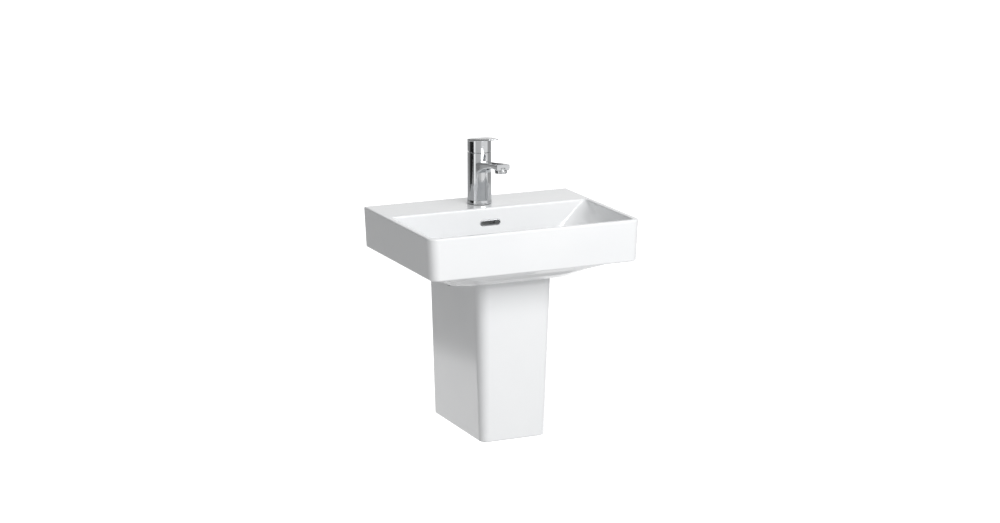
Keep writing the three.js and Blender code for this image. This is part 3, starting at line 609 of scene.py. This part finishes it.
def deck_void():
    side = BASIN["half_width"] - BASIN["taper"] - BASIN["wall"]
    rings = []
    for z, inset in ((-BASIN["height"] - 6, 0), (-20, 0), (-16, 1), (-14, 3.5), (-BASIN["wall"], 7)):
        outline = plan(side - inset, -BASIN["wall"] - inset, -99 + inset, 8 - inset, back_radius=14 - inset)
        rings.append([(p.x, p.y, z) for p in outline])
    return loft(rings)


def add_basin():
    wall = DUCT["wall"]
    duct_wall = box(
        (-DUCT["half_width"] - wall, DUCT["half_width"] + wall), (DUCT["front"] - wall, DUCT["back"] + wall),
        (DUCT["floor"] - wall, DUCT["top"] + wall - 1),
    )
    drain_y = ON_DRAIN.translation.y / MM
    over_drain = shift(y=drain_y)
    boss = moved(turned(rounded([(0, DRAIN_UNDER), (36, DRAIN_UNDER), (36, -122), (0, -122)], 2)), over_drain)
    body = joined(combine(basin_skin(), deck_void()), duct_wall, boss)
    round_slot = plan(SLOT["half_width"], SLOT["r"], -SLOT["r"], SLOT["r"] - 0.01)
    slot = moved(prism(round_slot, 0, 24), OUT_OF_WALL, shift(y=DUCT["front"] + 1, z=SLOT["z"]))
    cutters = [
        moved(rod(17.5, -BASIN["wall"] - 6, 6), shift(y=TAP_Y)),
        moved(rod(23, DRAIN_UNDER - 6, DRAIN_SEAT + 6, 64), over_drain),
        moved(rod(33.5, DRAIN_SEAT, DRAIN_SEAT + 6, 64), over_drain),
        slot,
        box(
            (-DUCT["half_width"], DUCT["half_width"]), (DUCT["front"], DUCT["back"]),
            (DUCT["floor"], DUCT["top"] - 1),
        ),
        box(
            (-DUCT["port"], DUCT["port"]), (drain_y + 10, DUCT["back"] - 1),
            (DUCT["floor"], DUCT["floor"] + 8),
        ),
    ]
    for side, _ in SIDES:
        bolt = middle(f"wall_stud_{side}") / MM
        at_bolt = shift(bolt.x, 0, bolt.z - RIM_Z / MM)
        cutters.append(moved(rod(8.5, -6, BASIN["wall"] + 6), OUT_OF_WALL, at_bolt))
    piece(combine(body, *cutters), "basin_ware", ["basin"], "ceramic")


add_basin()

# ---- siphon cover -------------------------------------------------------------------------------
COVER = {
    "top": -90, "bottom": -449, "wall": 10, "half_top": 81.8, "half_bottom": 71.3,
    "front_top": -247.5, "front_bottom": -235.2, "radius_top": 24, "radius_bottom": 17.5,
    "ears": -118, "ears_front": -88, "foot": 3,
}
COVER_SCREW = {"x": 53, "z": -404, "hole": 3.6}


def cover_ring(z, inset, back):
    share = (COVER["top"] - z) / (COVER["top"] - COVER["bottom"])

    def at(name):
        return COVER[f"{name}_top"] * (1 - share) + COVER[f"{name}_bottom"] * share

    radius = max(at("radius") - inset, 4)
    outline = plan(at("half") - inset, back, at("front") + inset, radius, back_radius=0.5, corner=16)
    return [(p.x, p.y, z) for p in outline]


def add_cover():
    foot = [cover_ring(COVER["bottom"] + COVER["foot"] - along, inset, -inset / 2)
            for inset, along in reversed(quarter(COVER["foot"]))]
    heights = [COVER["bottom"] + (COVER["top"] - COVER["bottom"]) * step / 12 for step in range(1, 13)]
    outer = loft(foot + [cover_ring(z, 0, 0) for z in heights])
    inner = loft([cover_ring(z, COVER["wall"], 6) for z in (COVER["bottom"] - 6, COVER["top"] + 6)])
    body = combine(outer, inner)
    for _, sign in SIDES:
        ends = sorted((sign * (COVER_SCREW["x"] - 9), sign * (COVER_SCREW["x"] + 10)))
        ear = box(ends, (-12, 0), (COVER_SCREW["z"] - 14, COVER_SCREW["z"] + 14))
        at_screw = shift(sign * COVER_SCREW["x"], 0, COVER_SCREW["z"])
        hole = moved(rod(COVER_SCREW["hole"], -6, 18), OUT_OF_WALL, at_screw)
        body = combine(joined(body, ear), hole)
    past = COVER["front_top"] - 6

    def under(y):
        return BELLY[-1][0] + UNDERSIDE_TILT * (TILT_FROM - y) - 1.2

    ears, ears_front = COVER["ears"], COVER["ears_front"]
    above = [
        (6, ears), (ears_front, ears), (ears_front, under(ears_front)), (past, under(past)), (past, 0),
        (6, 0),
    ]
    across = COVER["half_top"] + 6
    cutter = loft([[(x, y, z) for y, z in above] for x in (-across, across)])
    piece(combine(body, cutter), "siphon_cover_ware", ["siphon_cover"], "ceramic", bevel=0.8)


add_cover()

# ---- mixer --------------------------------------------------------------------------------------
TAP_R = 24.6
BODY_FOOT = 1.3
BODY_TOP = 106
INDEX_Z = 95
STUD_Y = -9
AERATOR_Y = -105

# Stations of the spout: place from the axis, half width, bottom and top.
SPOUT = [
    (-8, 17, 62, 81.5), (-22, 15.5, 65.5, 87.3), (-32, 13.6, 71, 88.8), (-45, 12.4, 77, 90.3),
    (-62, 12.2, 81.5, 92.3), (-80, 13.2, 85, 94.6), (-90, 13.8, 86.6, 95.8), (-113.5, 14.2, 86.6, 98.6),
    (-115, 13.2, 87.6, 97.9),
]


def spout_ring(station):
    y, half, bottom, top = station
    mid = (bottom + top) / 2
    return [(p.x, y, mid + p.y) for p in plan(half, top - mid, bottom - mid, 3, corner=6, side=6)]


def add_tap_body():
    outside = [
        (0, BODY_FOOT), (TAP_R + 0.6, BODY_FOOT), (TAP_R + 0.4, 4), (TAP_R - 0.2, 9),
        (TAP_R - 0.2, BODY_TOP - 0.6), (TAP_R - 0.8, BODY_TOP), (0, BODY_TOP),
    ]
    spout = loft([spout_ring(station) for station in between_rings(SPOUT, 5)])
    body = joined(smooth_turned(outside, 0.6, 128), spout)
    bore = [(0, 51), (17.7, 51), (17.7, 84), (20.4, 84), (20.4, BODY_TOP + 6), (0, BODY_TOP + 6)]
    rise = math.atan2(13, 90)
    cutters = [
        turned(bore, 96),
        rod(20.5, 0, 12, 96),
        turned([(16.5, 11), (20.5, 11), (20.5, 46), (16.5, 46), (16.5, 11)], 96),
        moved(rod(5, 0, 82), turn_about("X", math.pi / 2 - rise), shift(0, -14, 76)),
        moved(rod(11, 80, 92), shift(y=AERATOR_Y)),
        moved(rod(4.3, 10, 24), shift(y=STUD_Y)),
        moved(rod(2.9, -TAP_R - 1, -TAP_R + 1.6, 32), turn_about("X", -math.pi / 2), shift(z=INDEX_Z)),
    ]
    for _, sign in SIDES:
        cutters.append(moved(rod(5.2, 10, 24), shift(sign * HOSE["x"], HOSE["y"])))
        cutters.append(moved(rod(3, 20, 53), shift(sign * HOSE["x"], HOSE["y"])))
    piece(combine(body, *cutters), "mixer_body", ["tap_body"], "chrome", ON_TAP)


add_tap_body()

HANDLE = {
    "r": 24.6, "inner": 22.2, "top": 132.6, "tip": -70, "tip_half": 11.8, "plate": 4.6, "tip_plate": 3,
}
LEVER_TILT = math.atan(0.14)
SCREW_UP = 34.5
SPINDLE_HALF = 4
GAP = 0.3


def blade_outline(inset):
    """Round at the back, then straight to a narrow tip with small corners."""
    r, tip, half = HANDLE["r"] - inset, HANDLE["tip"] + inset, HANDLE["tip_half"] - inset
    spread = math.acos((r - half) / -tip) + 0.04
    corner = 3 - inset

    def arc(x, y, radius, start, end, steps):
        turns = [start + (end - start) * step / steps for step in range(steps + 1)]
        return [(x + radius * math.cos(a), y + radius * math.sin(a)) for a in turns]

    outline = arc(0, 0, r, -math.pi / 2 + spread, math.pi * 1.5 - spread, 96)
    outline += arc(-half + corner, tip + corner, corner, math.pi, math.pi * 1.5, 8)
    outline += arc(half - corner, tip + corner, corner, math.pi * 1.5, math.pi * 2, 8)
    start, end = Vector(outline[-1]), Vector(outline[0])
    left = [Vector(outline[96]).lerp(Vector(outline[97]), step / 12) for step in range(1, 12)]
    right = [start.lerp(end, step / 12) for step in range(1, 12)]
    return [tuple(p) for p in outline[:97] + left + outline[97:] + right]


def top_plate():
    bevel = quarter(0.9, 4)
    plate = HANDLE["plate"]
    levels = [(-plate + 0.9 - along, inset) for inset, along in reversed(bevel)]
    levels += [(-0.9 + along, inset) for inset, along in bevel]
    rings = []
    for z, inset in levels:
        ring = []
        for x, y in blade_outline(inset):
            share = min(max((y + HANDLE["r"]) / (HANDLE["tip"] + HANDLE["r"]), 0), 1)
            thin = 1 + share * (HANDLE["tip_plate"] / plate - 1)
            ring.append((x, y, z * thin))
        rings.append(ring)
    return moved(loft(rings), turn_about("X", -LEVER_TILT), shift(z=HANDLE["top"]))


def big_block(low, high, tilt, z):
    return moved(box((-60, 60), (-60, 60), (low, high)), turn_about("X", tilt), shift(z=z))


def on_spindle(made):
    return moved(made, turn_about("X", SPINDLE_LEAN), shift(z=PIVOT_Z))


def add_lever():
    top = HANDLE["top"]
    rear_gap = math.atan2(2.2, 2 * HANDLE["r"])
    skirt = combine(
        rod(HANDLE["r"] - 0.2, 100, 145, 128),
        big_block(-1.5, 60, -LEVER_TILT, top), big_block(-60, 0, rear_gap, BODY_TOP + 1.9),
    )
    hollow = combine(rod(HANDLE["inner"], 90, 150, 96), big_block(0, 60, -LEVER_TILT, top - HANDLE["plate"]))
    socket = combine(on_spindle(rod(8.5, 31.8, 50)), big_block(-1.5, 60, -LEVER_TILT, top))
    body = joined(combine(skirt, hollow), socket, top_plate())
    square = SPINDLE_HALF + GAP
    spindle_hole = on_spindle(box((-square, square), (-square, square), (20, 42.4)))
    screw_hole = on_spindle(moved(rod(2.4, 3, 40, 32), turn_about("X", -math.pi / 2), shift(z=SCREW_UP)))
    piece(combine(body, spindle_hole, screw_hole), "mixer_lever", ["lever"], "chrome", ON_TAP, "lever_arm")


add_lever()


def add_small_tap_parts():
    index = turned(rounded([(1.2, 0), (2.6, 0), (2.6, 1), (1.2, 1), (1.2, 0)], 0.25), 48)
    index_place = ON_TAP @ Matrix.Translation(Vector((0, -TAP_R + 1.3, INDEX_Z)) * MM) @ OUT_OF_WALL
    piece(index, "index_ring", ["temperature_index"], "index_enamel", index_place)
    at_aerator = ON_TAP @ Matrix.Translation((0, AERATOR_Y * MM, 0))
    shell = [
        (8.6, 80), (12.2, 80), (12.5, 80.6), (12.5, 86.3), (10.7, 86.3), (10.7, 91), (8.6, 91), (8.6, 80),
    ]
    housing = turned(rounded(shell, 0.4), 96)
    flats = [
        moved(box((11.9, 14), (-5, 5), (79, 83.5)), turn_about("Z", turn)) for turn in (0, math.pi)
    ]
    piece(combine(housing, *flats), "aerator_ring", ["aerator_housing"], "chrome", at_aerator)
    grid = combine(rod(8.3, 81.2, 89, 64), *(
        moved(box((-0.55, 0.55), (-7.4, 7.4), (79, 84)), shift(x=(row - 3) * 2.3))
        for row in range(7)
    ))
    piece(grid, "aerator_grid", ["aerator_insert"], "grey_plastic", at_aerator, bevel=0.15)
    dome = [(15.4, 88), (20.1, 88)]
    dome += [(r / 10, PIVOT_Z + math.sqrt(30**2 - (r / 10) ** 2)) for r in range(201, 153, -4)]
    dome += [(15.4, dome[-1][1]), (15.4, 88)]
    notches = [
        moved(box((17.6, 21), (-1.2, 1.2), (100, 115)), turn_about("Z", math.pi / 3 * i)) for i in range(6)
    ]
    piece(combine(turned(dome, 96), *notches), "cartridge_dome", ["cartridge_nut"], "chrome", ON_TAP)
    seal = [(19.5, 0.2), (23.5, 0.2), (23.5, BODY_FOOT - 0.2), (19.5, BODY_FOOT - 0.2), (19.5, 0.2)]
    piece(turned(rounded(seal, 0.3), 96), "foot_seal", ["tap_base_seal"], "rubber", ON_TAP)
    at_stud = ON_TAP @ Matrix.Translation((0, STUD_Y * MM, 0))
    stud = [(0, -42), *thread(3.9, -42, 23.5, 1.25, 0.5), (0, 23.5)]
    piece(turned(stud, 40), "threaded_tap_stud", ["tap_stud"], "steel", at_stud)
    under = -BASIN["wall"]
    nut = chamfered_nut(6, 13, 3.9 + GAP, under - 18, under - 6.3)
    piece(nut, "tap_stud_hex_nut", ["tap_stud_nut"], "brass", at_stud)


def chamfered_nut(sides, across_flats, bore, low, high):
    """A nut with its corners chamfered at both ends."""
    tall = prism(polygon(sides, across_flats), low, high)
    corner = across_flats / 2 / math.cos(math.pi / sides)
    drop = (corner - across_flats / 2) * 0.6 + 0.2
    past = 0.5  # the cone runs on past both ends, so that no two faces lie in one plane
    tip = across_flats / 2 - 0.1 - past * (corner + 0.2 - across_flats / 2) / drop
    cone = [
        (0, low - past), (tip, low - past), (corner + 0.1, low + drop), (corner + 0.1, high - drop),
        (tip, high + past), (0, high + past),
    ]
    body = combine(tall, turned(cone, 96), how="INTERSECT")
    return combine(body, rod(bore, low - 1, high + 1))


add_small_tap_parts()

# ---- waste --------------------------------------------------------------------------------------
THREAD_R = 20.6
TAIL_END = -214
CAP_REST = DRAIN_SEAT + 0.6


def add_waste():
    flange = rounded([
        (THREAD_R - 0.4, DRAIN_SEAT + 1.6), (31, DRAIN_SEAT + 1.6), (31.5, DRAIN_SEAT + 2.4),
        (31, DRAIN_SEAT + 3.3), (24, DRAIN_SEAT + 3.2), (21.6, DRAIN_SEAT + 3), (18.2, DRAIN_SEAT + 0.8),
        (17.2, DRAIN_SEAT - 4),
    ], 0.4)
    outline = [
        (17.2, TAIL_END), *thread(THREAD_R, TAIL_END, DRAIN_UNDER, 2.2, 0.7), *flange, (17.2, TAIL_END),
    ]
    window = box((-9, 9), (-30, 30), (DUCT["floor"] + 0.5, DUCT["floor"] + 7.5))
    body = combine(turned(outline, 96), window)
    hub = turned([(5.3, -166), (8.2, -166), (8.2, -154), (5.3, -154), (5.3, -166)], 64)
    spokes = [
        moved(box((6, 18.5), (-1.5, 1.5), (-164, -156)), turn_about("Z", 2 * math.pi * i / 3 + math.pi / 6))
        for i in range(3)
    ]
    piece(joined(body, hub, *spokes), "waste_flange_and_tail", ["waste_body"], "chrome", ON_DRAIN)
    cap = [
        (0, -172), (3, -172), (3, CAP_REST), (16.6, CAP_REST), (22.6, CAP_REST + 3.8), (22.2, CAP_REST + 5),
        (12, CAP_REST + 6.6), (0, CAP_REST + 7.2),
    ]
    piece(turned(rounded(cap, 1.2, 6), 96), "push_plug", ["waste_plug"], "chrome", ON_DRAIN, "plug")
    low, high = CAP_REST - 2.7, CAP_REST - 0.3
    ring = [(13, low), (16.6, low), (16.6, high), (13, high), (13, low)]
    piece(turned(rounded(ring, 0.7), 96), "push_plug_seal", ["plug_seal"], "rubber", ON_DRAIN, "plug")
    low, high = DRAIN_SEAT + GAP, DRAIN_SEAT + 1.2
    ring = [(THREAD_R + 2 * GAP, low), (29, low), (29, high), (THREAD_R + 2 * GAP, high)]
    piece(turned(rounded([*ring, ring[0]], 0.3), 96), "flange_seal", ["waste_top_seal"], "rubber", ON_DRAIN)
    inner = THREAD_R + GAP
    cone = [(inner, -156), (33, -156), (33, DRAIN_UNDER - 0.2), (inner, DRAIN_UNDER - 0.2), (inner, -156)]
    piece(turned(rounded(cone, 1.4), 96), "cone_seal", ["waste_bottom_seal"], "rubber", ON_DRAIN)
    backnut = chamfered_nut(8, 58, inner, -167, -156.3)
    piece(backnut, "octagon_backnut", ["waste_backnut"], "brass", ON_DRAIN)
    outer = SLOT["r"] - 0.4
    long = SLOT["half_width"] - 0.4
    bead = 1.6
    steps = [(0, 0.5), (0.15, 0.2), (0.5, 0), (7, 0)]
    rings = []
    for z, inset in steps:
        reach = outer - inset
        rings.append([(p.x, p.y, z) for p in plan(long - inset, reach, -reach, reach - 0.01)])
    hole = outer - bead
    opening = prism(plan(long - bead, hole, -hole, hole - 0.01), -1, 8)
    trim_low, trim_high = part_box("overflow_trim")
    place = Matrix.Translation((0, trim_low.y, (trim_low.z + trim_high.z) / 2)) @ OUT_OF_WALL
    trim = moved(combine(loft(rings), opening), turn_about("X", math.pi))
    piece(trim, "overflow_bezel", ["overflow_trim"], "chrome", place)


add_waste()

# ---- bottle trap --------------------------------------------------------------------------------
TRAP_R = 30
TUBE_R = 16
TUBE_BORE = 14.6
OUTLET_Z = -300


def grip_nut(groove_r, outer, low, high, bore, neck_bore, neck_z):
    """A round slip nut with twelve grip grooves, bored wide from neck_z up."""
    body = smooth_turned([(0, low), (outer, low), (outer, high), (0, high)], 1.2, 96)
    out = outer + 1.2
    turns = [math.pi / 6 * i for i in range(12)]
    grooves = [
        moved(rod(groove_r, low - 1, high + 1, 24), shift(out * math.cos(a), out * math.sin(a)))
        for a in turns
    ]
    return combine(body, *grooves, rod(bore, neck_z, high + 1, 64), rod(neck_bore, low - 1, high + 1, 64))


def add_trap():
    nut = grip_nut(2.2, 27, -222, -200, THREAD_R + GAP, TUBE_R + GAP, -217.6)
    piece(nut, "inlet_slip_nut", ["trap_inlet_nut"], "chrome", ON_DRAIN)
    tube = [
        (TUBE_BORE, -350), (TUBE_R, -350), (TUBE_R, -217.2), (19.8, -217.2), (19.8, -215), (TUBE_BORE, -215),
        (TUBE_BORE, -350),
    ]
    piece(turned(rounded(tube, 0.4), 64), "inlet_tube", ["trap_inlet_tube"], "chrome", ON_DRAIN)
    inner = TUBE_R + GAP
    outline = [
        (TRAP_R - 3, -330), (TRAP_R - 0.4, -330), (TRAP_R - 0.4, -322), (TRAP_R + 1, -322),
        (TRAP_R + 1, -284), (TRAP_R - 4, -276), (20, -274), (20, -262), (inner, -262), (inner, -278),
        (TRAP_R - 3, -282), (TRAP_R - 3, -330),
    ]
    stub = moved(rod(18, 20, 46, 64), turn_about("X", -math.pi / 2), shift(z=OUTLET_Z))
    bore = moved(rod(14, 20, 48, 64), turn_about("X", -math.pi / 2), shift(z=OUTLET_Z))
    body = combine(joined(turned(rounded(outline, 0.8), 96), stub), rod(TRAP_R - 3, -331, -284, 96), bore)
    piece(body, "trap_head", ["trap_body"], "chrome", ON_DRAIN)
    neck = chamfered_nut(12, 50, inner, -270, -256)
    neck = combine(neck, rod(20 + GAP, -280, -259.5, 64))
    piece(neck, "trap_neck_ring", ["trap_neck_nut"], "chrome", ON_DRAIN)
    cup = [
        (0, -384), (20, -384), (27, -381), (TRAP_R + 1, -374), (TRAP_R + 2.6, -362),
        (TRAP_R + 2.6, -322.8), (TRAP_R, -322.8), (TRAP_R, -331.2), (TRAP_R - 1.4, -331.2),
        (TRAP_R - 1.4, -372), (24, -378), (0, -379),
    ]
    piece(turned(rounded(cup, 1.2, 6), 96), "trap_bottle_cup", ["trap_cup"], "chrome", ON_DRAIN)
    at_outlet = ON_RIM @ Matrix.Translation((0, 0, OUTLET_Z * MM)) @ OUT_OF_WALL
    pipe = [(TUBE_BORE, 0.4), (TUBE_R, 0.4), (TUBE_R, 121), (TUBE_BORE, 121), (TUBE_BORE, 0.4)]
    piece(turned(rounded(pipe, 0.4), 96), "outlet_pipe", ["trap_outlet_tube"], "chrome", at_outlet)
    slip = combine(chamfered_nut(12, 44, inner, 110, 132), rod(18 + GAP, 121.6, 133, 64))
    piece(slip, "outlet_slip_nut", ["trap_outlet_nut"], "chrome", at_outlet)
    flange = [
        (TUBE_R + 0.5, 0), (32, 0), (31.2, 3), (20, 9.5), (TUBE_R + 0.5, 10.5), (TUBE_R + 0.5, 0),
    ]
    piece(turned(rounded(flange, 1), 96), "outlet_rosette", ["trap_wall_flange"], "chrome", at_outlet)


add_trap()

# ---- valves and wall fixings --------------------------------------------------------------------
def knob_outline(r, lobe):
    """A round knob with three lobes."""
    polar = [(2 * math.pi * i / 96, r + lobe * math.cos(3 * 2 * math.pi * i / 96)) for i in range(96)]
    return [(reach * math.sin(a), reach * math.cos(a)) for a, reach in polar]


def add_valve(side, sign):
    place = ON_RIM @ Matrix.Translation(Vector((sign * VALVE["x"], 0, VALVE["z"])) * MM) @ OUT_OF_WALL
    axis = -VALVE["axis"]
    house = [(0, 15), (12.5, 15), (13.5, 17), (13.5, 45), (12, 48), (0, 48)]
    barrel = [(0, 0.4), *thread(10.2, 0.4, 12, 1.8, 0.6), (10.2, 12.5), (10.2, 16), (0, 16)]
    tail_turn, tail_place = turn_about("X", -math.pi / 2), shift(z=axis)
    tail = moved(turned([(0, 0), (8, 0), *thread(8, 13, 21, 1.2, 0.5), (0, 21)], 64), tail_turn, tail_place)
    body = joined(smooth_turned(house, 0.9, 96), turned(barrel, 64), tail)
    body = combine(body, rod(6, -1, 36, 64), moved(rod(5, 0, 30), tail_turn, tail_place), rod(3.8, 34, 50))
    piece(body, f"valve_housing_{side}", [f"angle_valve_{side}"], "chrome", place)
    rim = [(10.6, 0), (25, 0), (24.4, 2.6), (15, 9), (10.6, 10), (10.6, 0)]
    rosette = turned(rounded(rim, 1), 96)
    piece(rosette, f"valve_wall_rosette_{side}", [f"valve_rosette_{side}"], "chrome", place)
    upright = ON_RIM @ Matrix.Translation(Vector((sign * VALVE["x"], VALVE["axis"], VALVE["z"])) * MM)
    coupling = combine(chamfered_nut(6, 19, 3.4, 14, 31), rod(8 + GAP, 13, 21 + GAP))
    piece(coupling, f"hose_coupling_{side}", [f"hose_nut_{side}"], "chrome", upright)
    levels = [(49, 1.6), (49.4, 0.7), (50.2, 0.15), (51.2, 0), (66.4, 0), (67.3, 0.3), (67.8, 0.9), (68, 1.8)]
    grip = loft([[(x, y, z) for x, y in knob_outline(12.6 - inset, 1.6)] for z, inset in levels])
    knob = joined(grip, rod(3.4, 38, 50))
    piece(knob, f"valve_handle_{side}", [f"valve_knob_{side}"], "chrome", place, f"knob_{side}")


def add_wall_fixing(side):
    face = BASIN["wall"] + GAP
    place = out_of_wall(f"wall_stud_{side}")
    stud = [(0, 0.4), *thread(5, 0.4, 33.4, 1.5, 0.6), (3.6, 34), (0, 34)]
    piece(turned(stud, 48), f"threaded_wall_stud_{side}", [f"wall_stud_{side}"], "steel", place)
    inner, bush_r = 5 + GAP, 8.5 - GAP
    outline = [
        (inner, 3), (bush_r, 3), (bush_r, face), (14, face), (14, face + 2.5), (inner, face + 2.5),
        (inner, 3),
    ]
    bush = turned(rounded(outline, 0.5), 64)
    piece(bush, f"flanged_bush_{side}", [f"wall_bush_{side}"], "white_plastic", place)
    low, high = face + 2.8, face + 4.8
    washer = [(inner, low), (11, low), (11, high), (inner, high), (inner, low)]
    piece(turned(rounded(washer, 0.3), 64), f"flat_washer_{side}", [f"wall_washer_{side}"], "steel", place)
    nut = chamfered_nut(6, 17, inner, face + 5.1, face + 13)
    piece(nut, f"hex_nut_{side}", [f"wall_nut_{side}"], "steel", place)
    place = out_of_wall(f"cover_screw_{side}")
    washer = [(3.3, 12.3), (7.5, 12.3), (7.5, 14.3), (3.3, 14.3), (3.3, 12.3)]
    nylon = turned(rounded(washer, 0.4), 64)
    piece(nylon, f"nylon_washer_{side}", [f"cover_washer_{side}"], "white_plastic", place)
    head = [
        (0, 0.4), *thread(3, 0.4, 12, 1.4, 0.6), (3, 12.4), (3, 14.6), (6, 14.6), (5.2, 17.6), (3, 18.6),
        (0, 18.6),
    ]
    recess = [
        moved(box((-3, 3), (-0.6, 0.6), (16.2, 20)), turn_about("Z", turn)) for turn in (0, math.pi / 2)
    ]
    screw = combine(turned(head, 48), *recess)
    piece(screw, f"cross_head_screw_{side}", [f"cover_screw_{side}"], "steel", place)


for side, sign in SIDES:
    add_valve(side, sign)
    add_wall_fixing(side)

# ---- stage and light ----------------------------------------------------------------------------
# The floor is turned to face the camera. It ends short in front, so that the chrome mirrors the studio.
FLOOR = {"z": RIM_Z - 0.85, "half_width": 4.2, "front": -2.6, "back": 14}
FLAG = {"half_width": 3.6, "near": 13.7, "far": 13.8, "height": 0.99}  # a dark cloth at the floor's far end
FLOOR_GLOW = 0.1  # under and in front of the basin
BACKDROP_GLOW = 1.02  # the floor behind it, which fills the picture
BACKDROP_START = (0.1, 0.26)  # how far behind the wall plane its glow begins and is full
BACKDROP_APEX = 5.5  # how far in front the two edges of the glowing wedge would meet
BACKDROP_HALF_WIDTH = 1.12  # of the wedge, at the wall plane
BACKDROP_EDGE = (1, 1.08)  # where its glow starts to fade and ends, as a share of its half width
SIDE_LIGHT = 0.62
TOP_LIGHT = 0.5
TOP_FROM = (0.45, 0.75)  # heights on the unit sphere between which the sides give way to the top
KEY = {"size": (2.0, 1.4), "power": 66, "place": (0.6, -2.7, 1.7), "target": (0, -0.2, -0.05)}

# The studio round the basin: degrees from the front, counted towards +X, and how bright it is there.
STUDIO = [
    (-180, 0.8), (-165, 0.37), (-125, 0.37), (-119, 0.02), (-78, 0.02), (-75, 1.7), (-62, 1.7),
    (-59, 0.85), (-10, 0.9), (-2, 1.35), (58, 1.35), (66, 0.6), (128, 0.55), (140, 1.5), (172, 1.5),
    (180, 0.8),
]


def on_floor(made, name, look):
    """Turns a block to face the camera, stands it on the floor's level, names it and gives it its look."""
    moved(made, shift(z=FLOOR["z"]) @ turn_about("Z", AZIMUTH))
    made.name = name
    made.data.materials.append(look.material)


def floor_look():
    look = Look("pale_floor", (0.6, 0.8))
    look.colour(look.noise(0.4, 3), (0.3, grey(0.48)), (0.7, grey(0.52)))
    look.roughness(look.noise(2, 3))
    look.bump(look.noise(40, 3), 0.0002)
    look.shader.inputs["Emission Color"].default_value = (1, 1, 1, 1)
    turned_floor = look.node("Mapping", Vector=look.where, Rotation=(0, 0, -AZIMUTH)).outputs["Vector"]
    place = look.node("SeparateXYZ", Vector=turned_floor).outputs
    wedge = add_node(look.tree, "MapRange", place["Y"], -BACKDROP_APEX, 0, 0, BACKDROP_HALF_WIDTH)
    wedge.clamp = False
    outward = maths(look.tree, "ABSOLUTE", place["X"])
    share = maths(look.tree, "DIVIDE", outward, wedge.outputs["Result"])
    full = look.between(share, BACKDROP_GLOW, FLOOR_GLOW, BACKDROP_EDGE)
    glow = look.between(place["Y"], FLOOR_GLOW, full, BACKDROP_START)
    look.tree.links.new(glow, look.shader.inputs["Emission Strength"])
    return look


def flag_look():
    look = Look("dark_cloth", (0.85, 0.95))
    look.colour(look.noise(3, 3), (0.3, (0.05, 0.05, 0.052)), (0.7, (0.07, 0.07, 0.072)))
    look.roughness(look.noise(6, 3))
    look.bump(look.noise(300, 2), 0.0003)
    return look


def add_floor():
    half = FLOOR["half_width"]
    on_floor(box((-half, half), (FLOOR["front"], FLOOR["back"]), (-1, 0)), "floor", floor_look())
    half = FLAG["half_width"]
    flag = box((-half, half), (FLAG["near"], FLAG["far"]), (0, FLAG["height"]))
    on_floor(flag, "dark_flag", flag_look())


def add_key_light():
    data = bpy.data.lights.new("key", "AREA")
    data.shape = "RECTANGLE"
    data.size, data.size_y = KEY["size"]
    data.energy = KEY["power"]
    light = bpy.data.objects.new("key", data)
    bpy.context.scene.collection.objects.link(light)
    light.location = KEY["place"]
    light.rotation_euler = (Vector(KEY["place"]) - Vector(KEY["target"])).to_track_quat("Z", "Y").to_euler()


def add_world():
    """A studio that changes round the horizon and has a soft light overhead."""
    world = bpy.data.worlds.new("studio")
    bpy.context.scene.world = world
    world.use_nodes = True
    tree = world.node_tree
    where = add_node(tree, "TexCoord").outputs["Generated"]
    parts = add_node(tree, "SeparateXYZ", where).outputs
    angle = maths(tree, "ARCTAN2", parts["X"], maths(tree, "MULTIPLY", parts["Y"], -1))
    share = add_node(tree, "MapRange", angle, -math.pi, math.pi).outputs["Result"]
    ramp = add_node(tree, "ValToRGB", share)
    elements = ramp.color_ramp.elements
    elements.remove(elements[1])
    elements[0].color = (*grey(STUDIO[0][1]), 1)
    for degrees, level in STUDIO[1:]:
        elements.new((degrees + 180) / 360).color = (*grey(level), 1)
    sides = tree.nodes["Background"]
    tree.links.new(ramp.outputs["Color"], sides.inputs["Color"])
    sides.inputs["Strength"].default_value = SIDE_LIGHT
    overhead = add_node(tree, "Background", (0.98, 0.99, 1, 1), TOP_LIGHT)
    height = add_node(tree, "MapRange", parts["Z"], *TOP_FROM)
    height.interpolation_type = "SMOOTHSTEP"
    mix = add_node(tree, "MixShader", height.outputs["Result"], sides.outputs[0], overhead.outputs[0])
    tree.links.new(mix.outputs[0], tree.nodes["World Output"].inputs["Surface"])


bpy.context.scene.view_settings.view_transform = "Standard"
add_floor()
add_world()
add_key_light()

KEPT_AS_BUILT = {
    "cartridge": "grey_plastic", "cartridge_driver": "white_plastic", "pivot_pin": "steel",
    "cartridge_spindle": "brass", "lever_set_screw": "steel", "set_screw_plug": "grey_plastic",
    "clamp_gasket": "rubber", "clamp_plate": "steel", "click_cartridge": "white_plastic",
}  # CAD nodes that no piece replaces, and their looks
for name, slot_name in KEPT_AS_BUILT.items():
    for material_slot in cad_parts[name].material_slots:
        material_slot.material = LOOKS[slot_name]
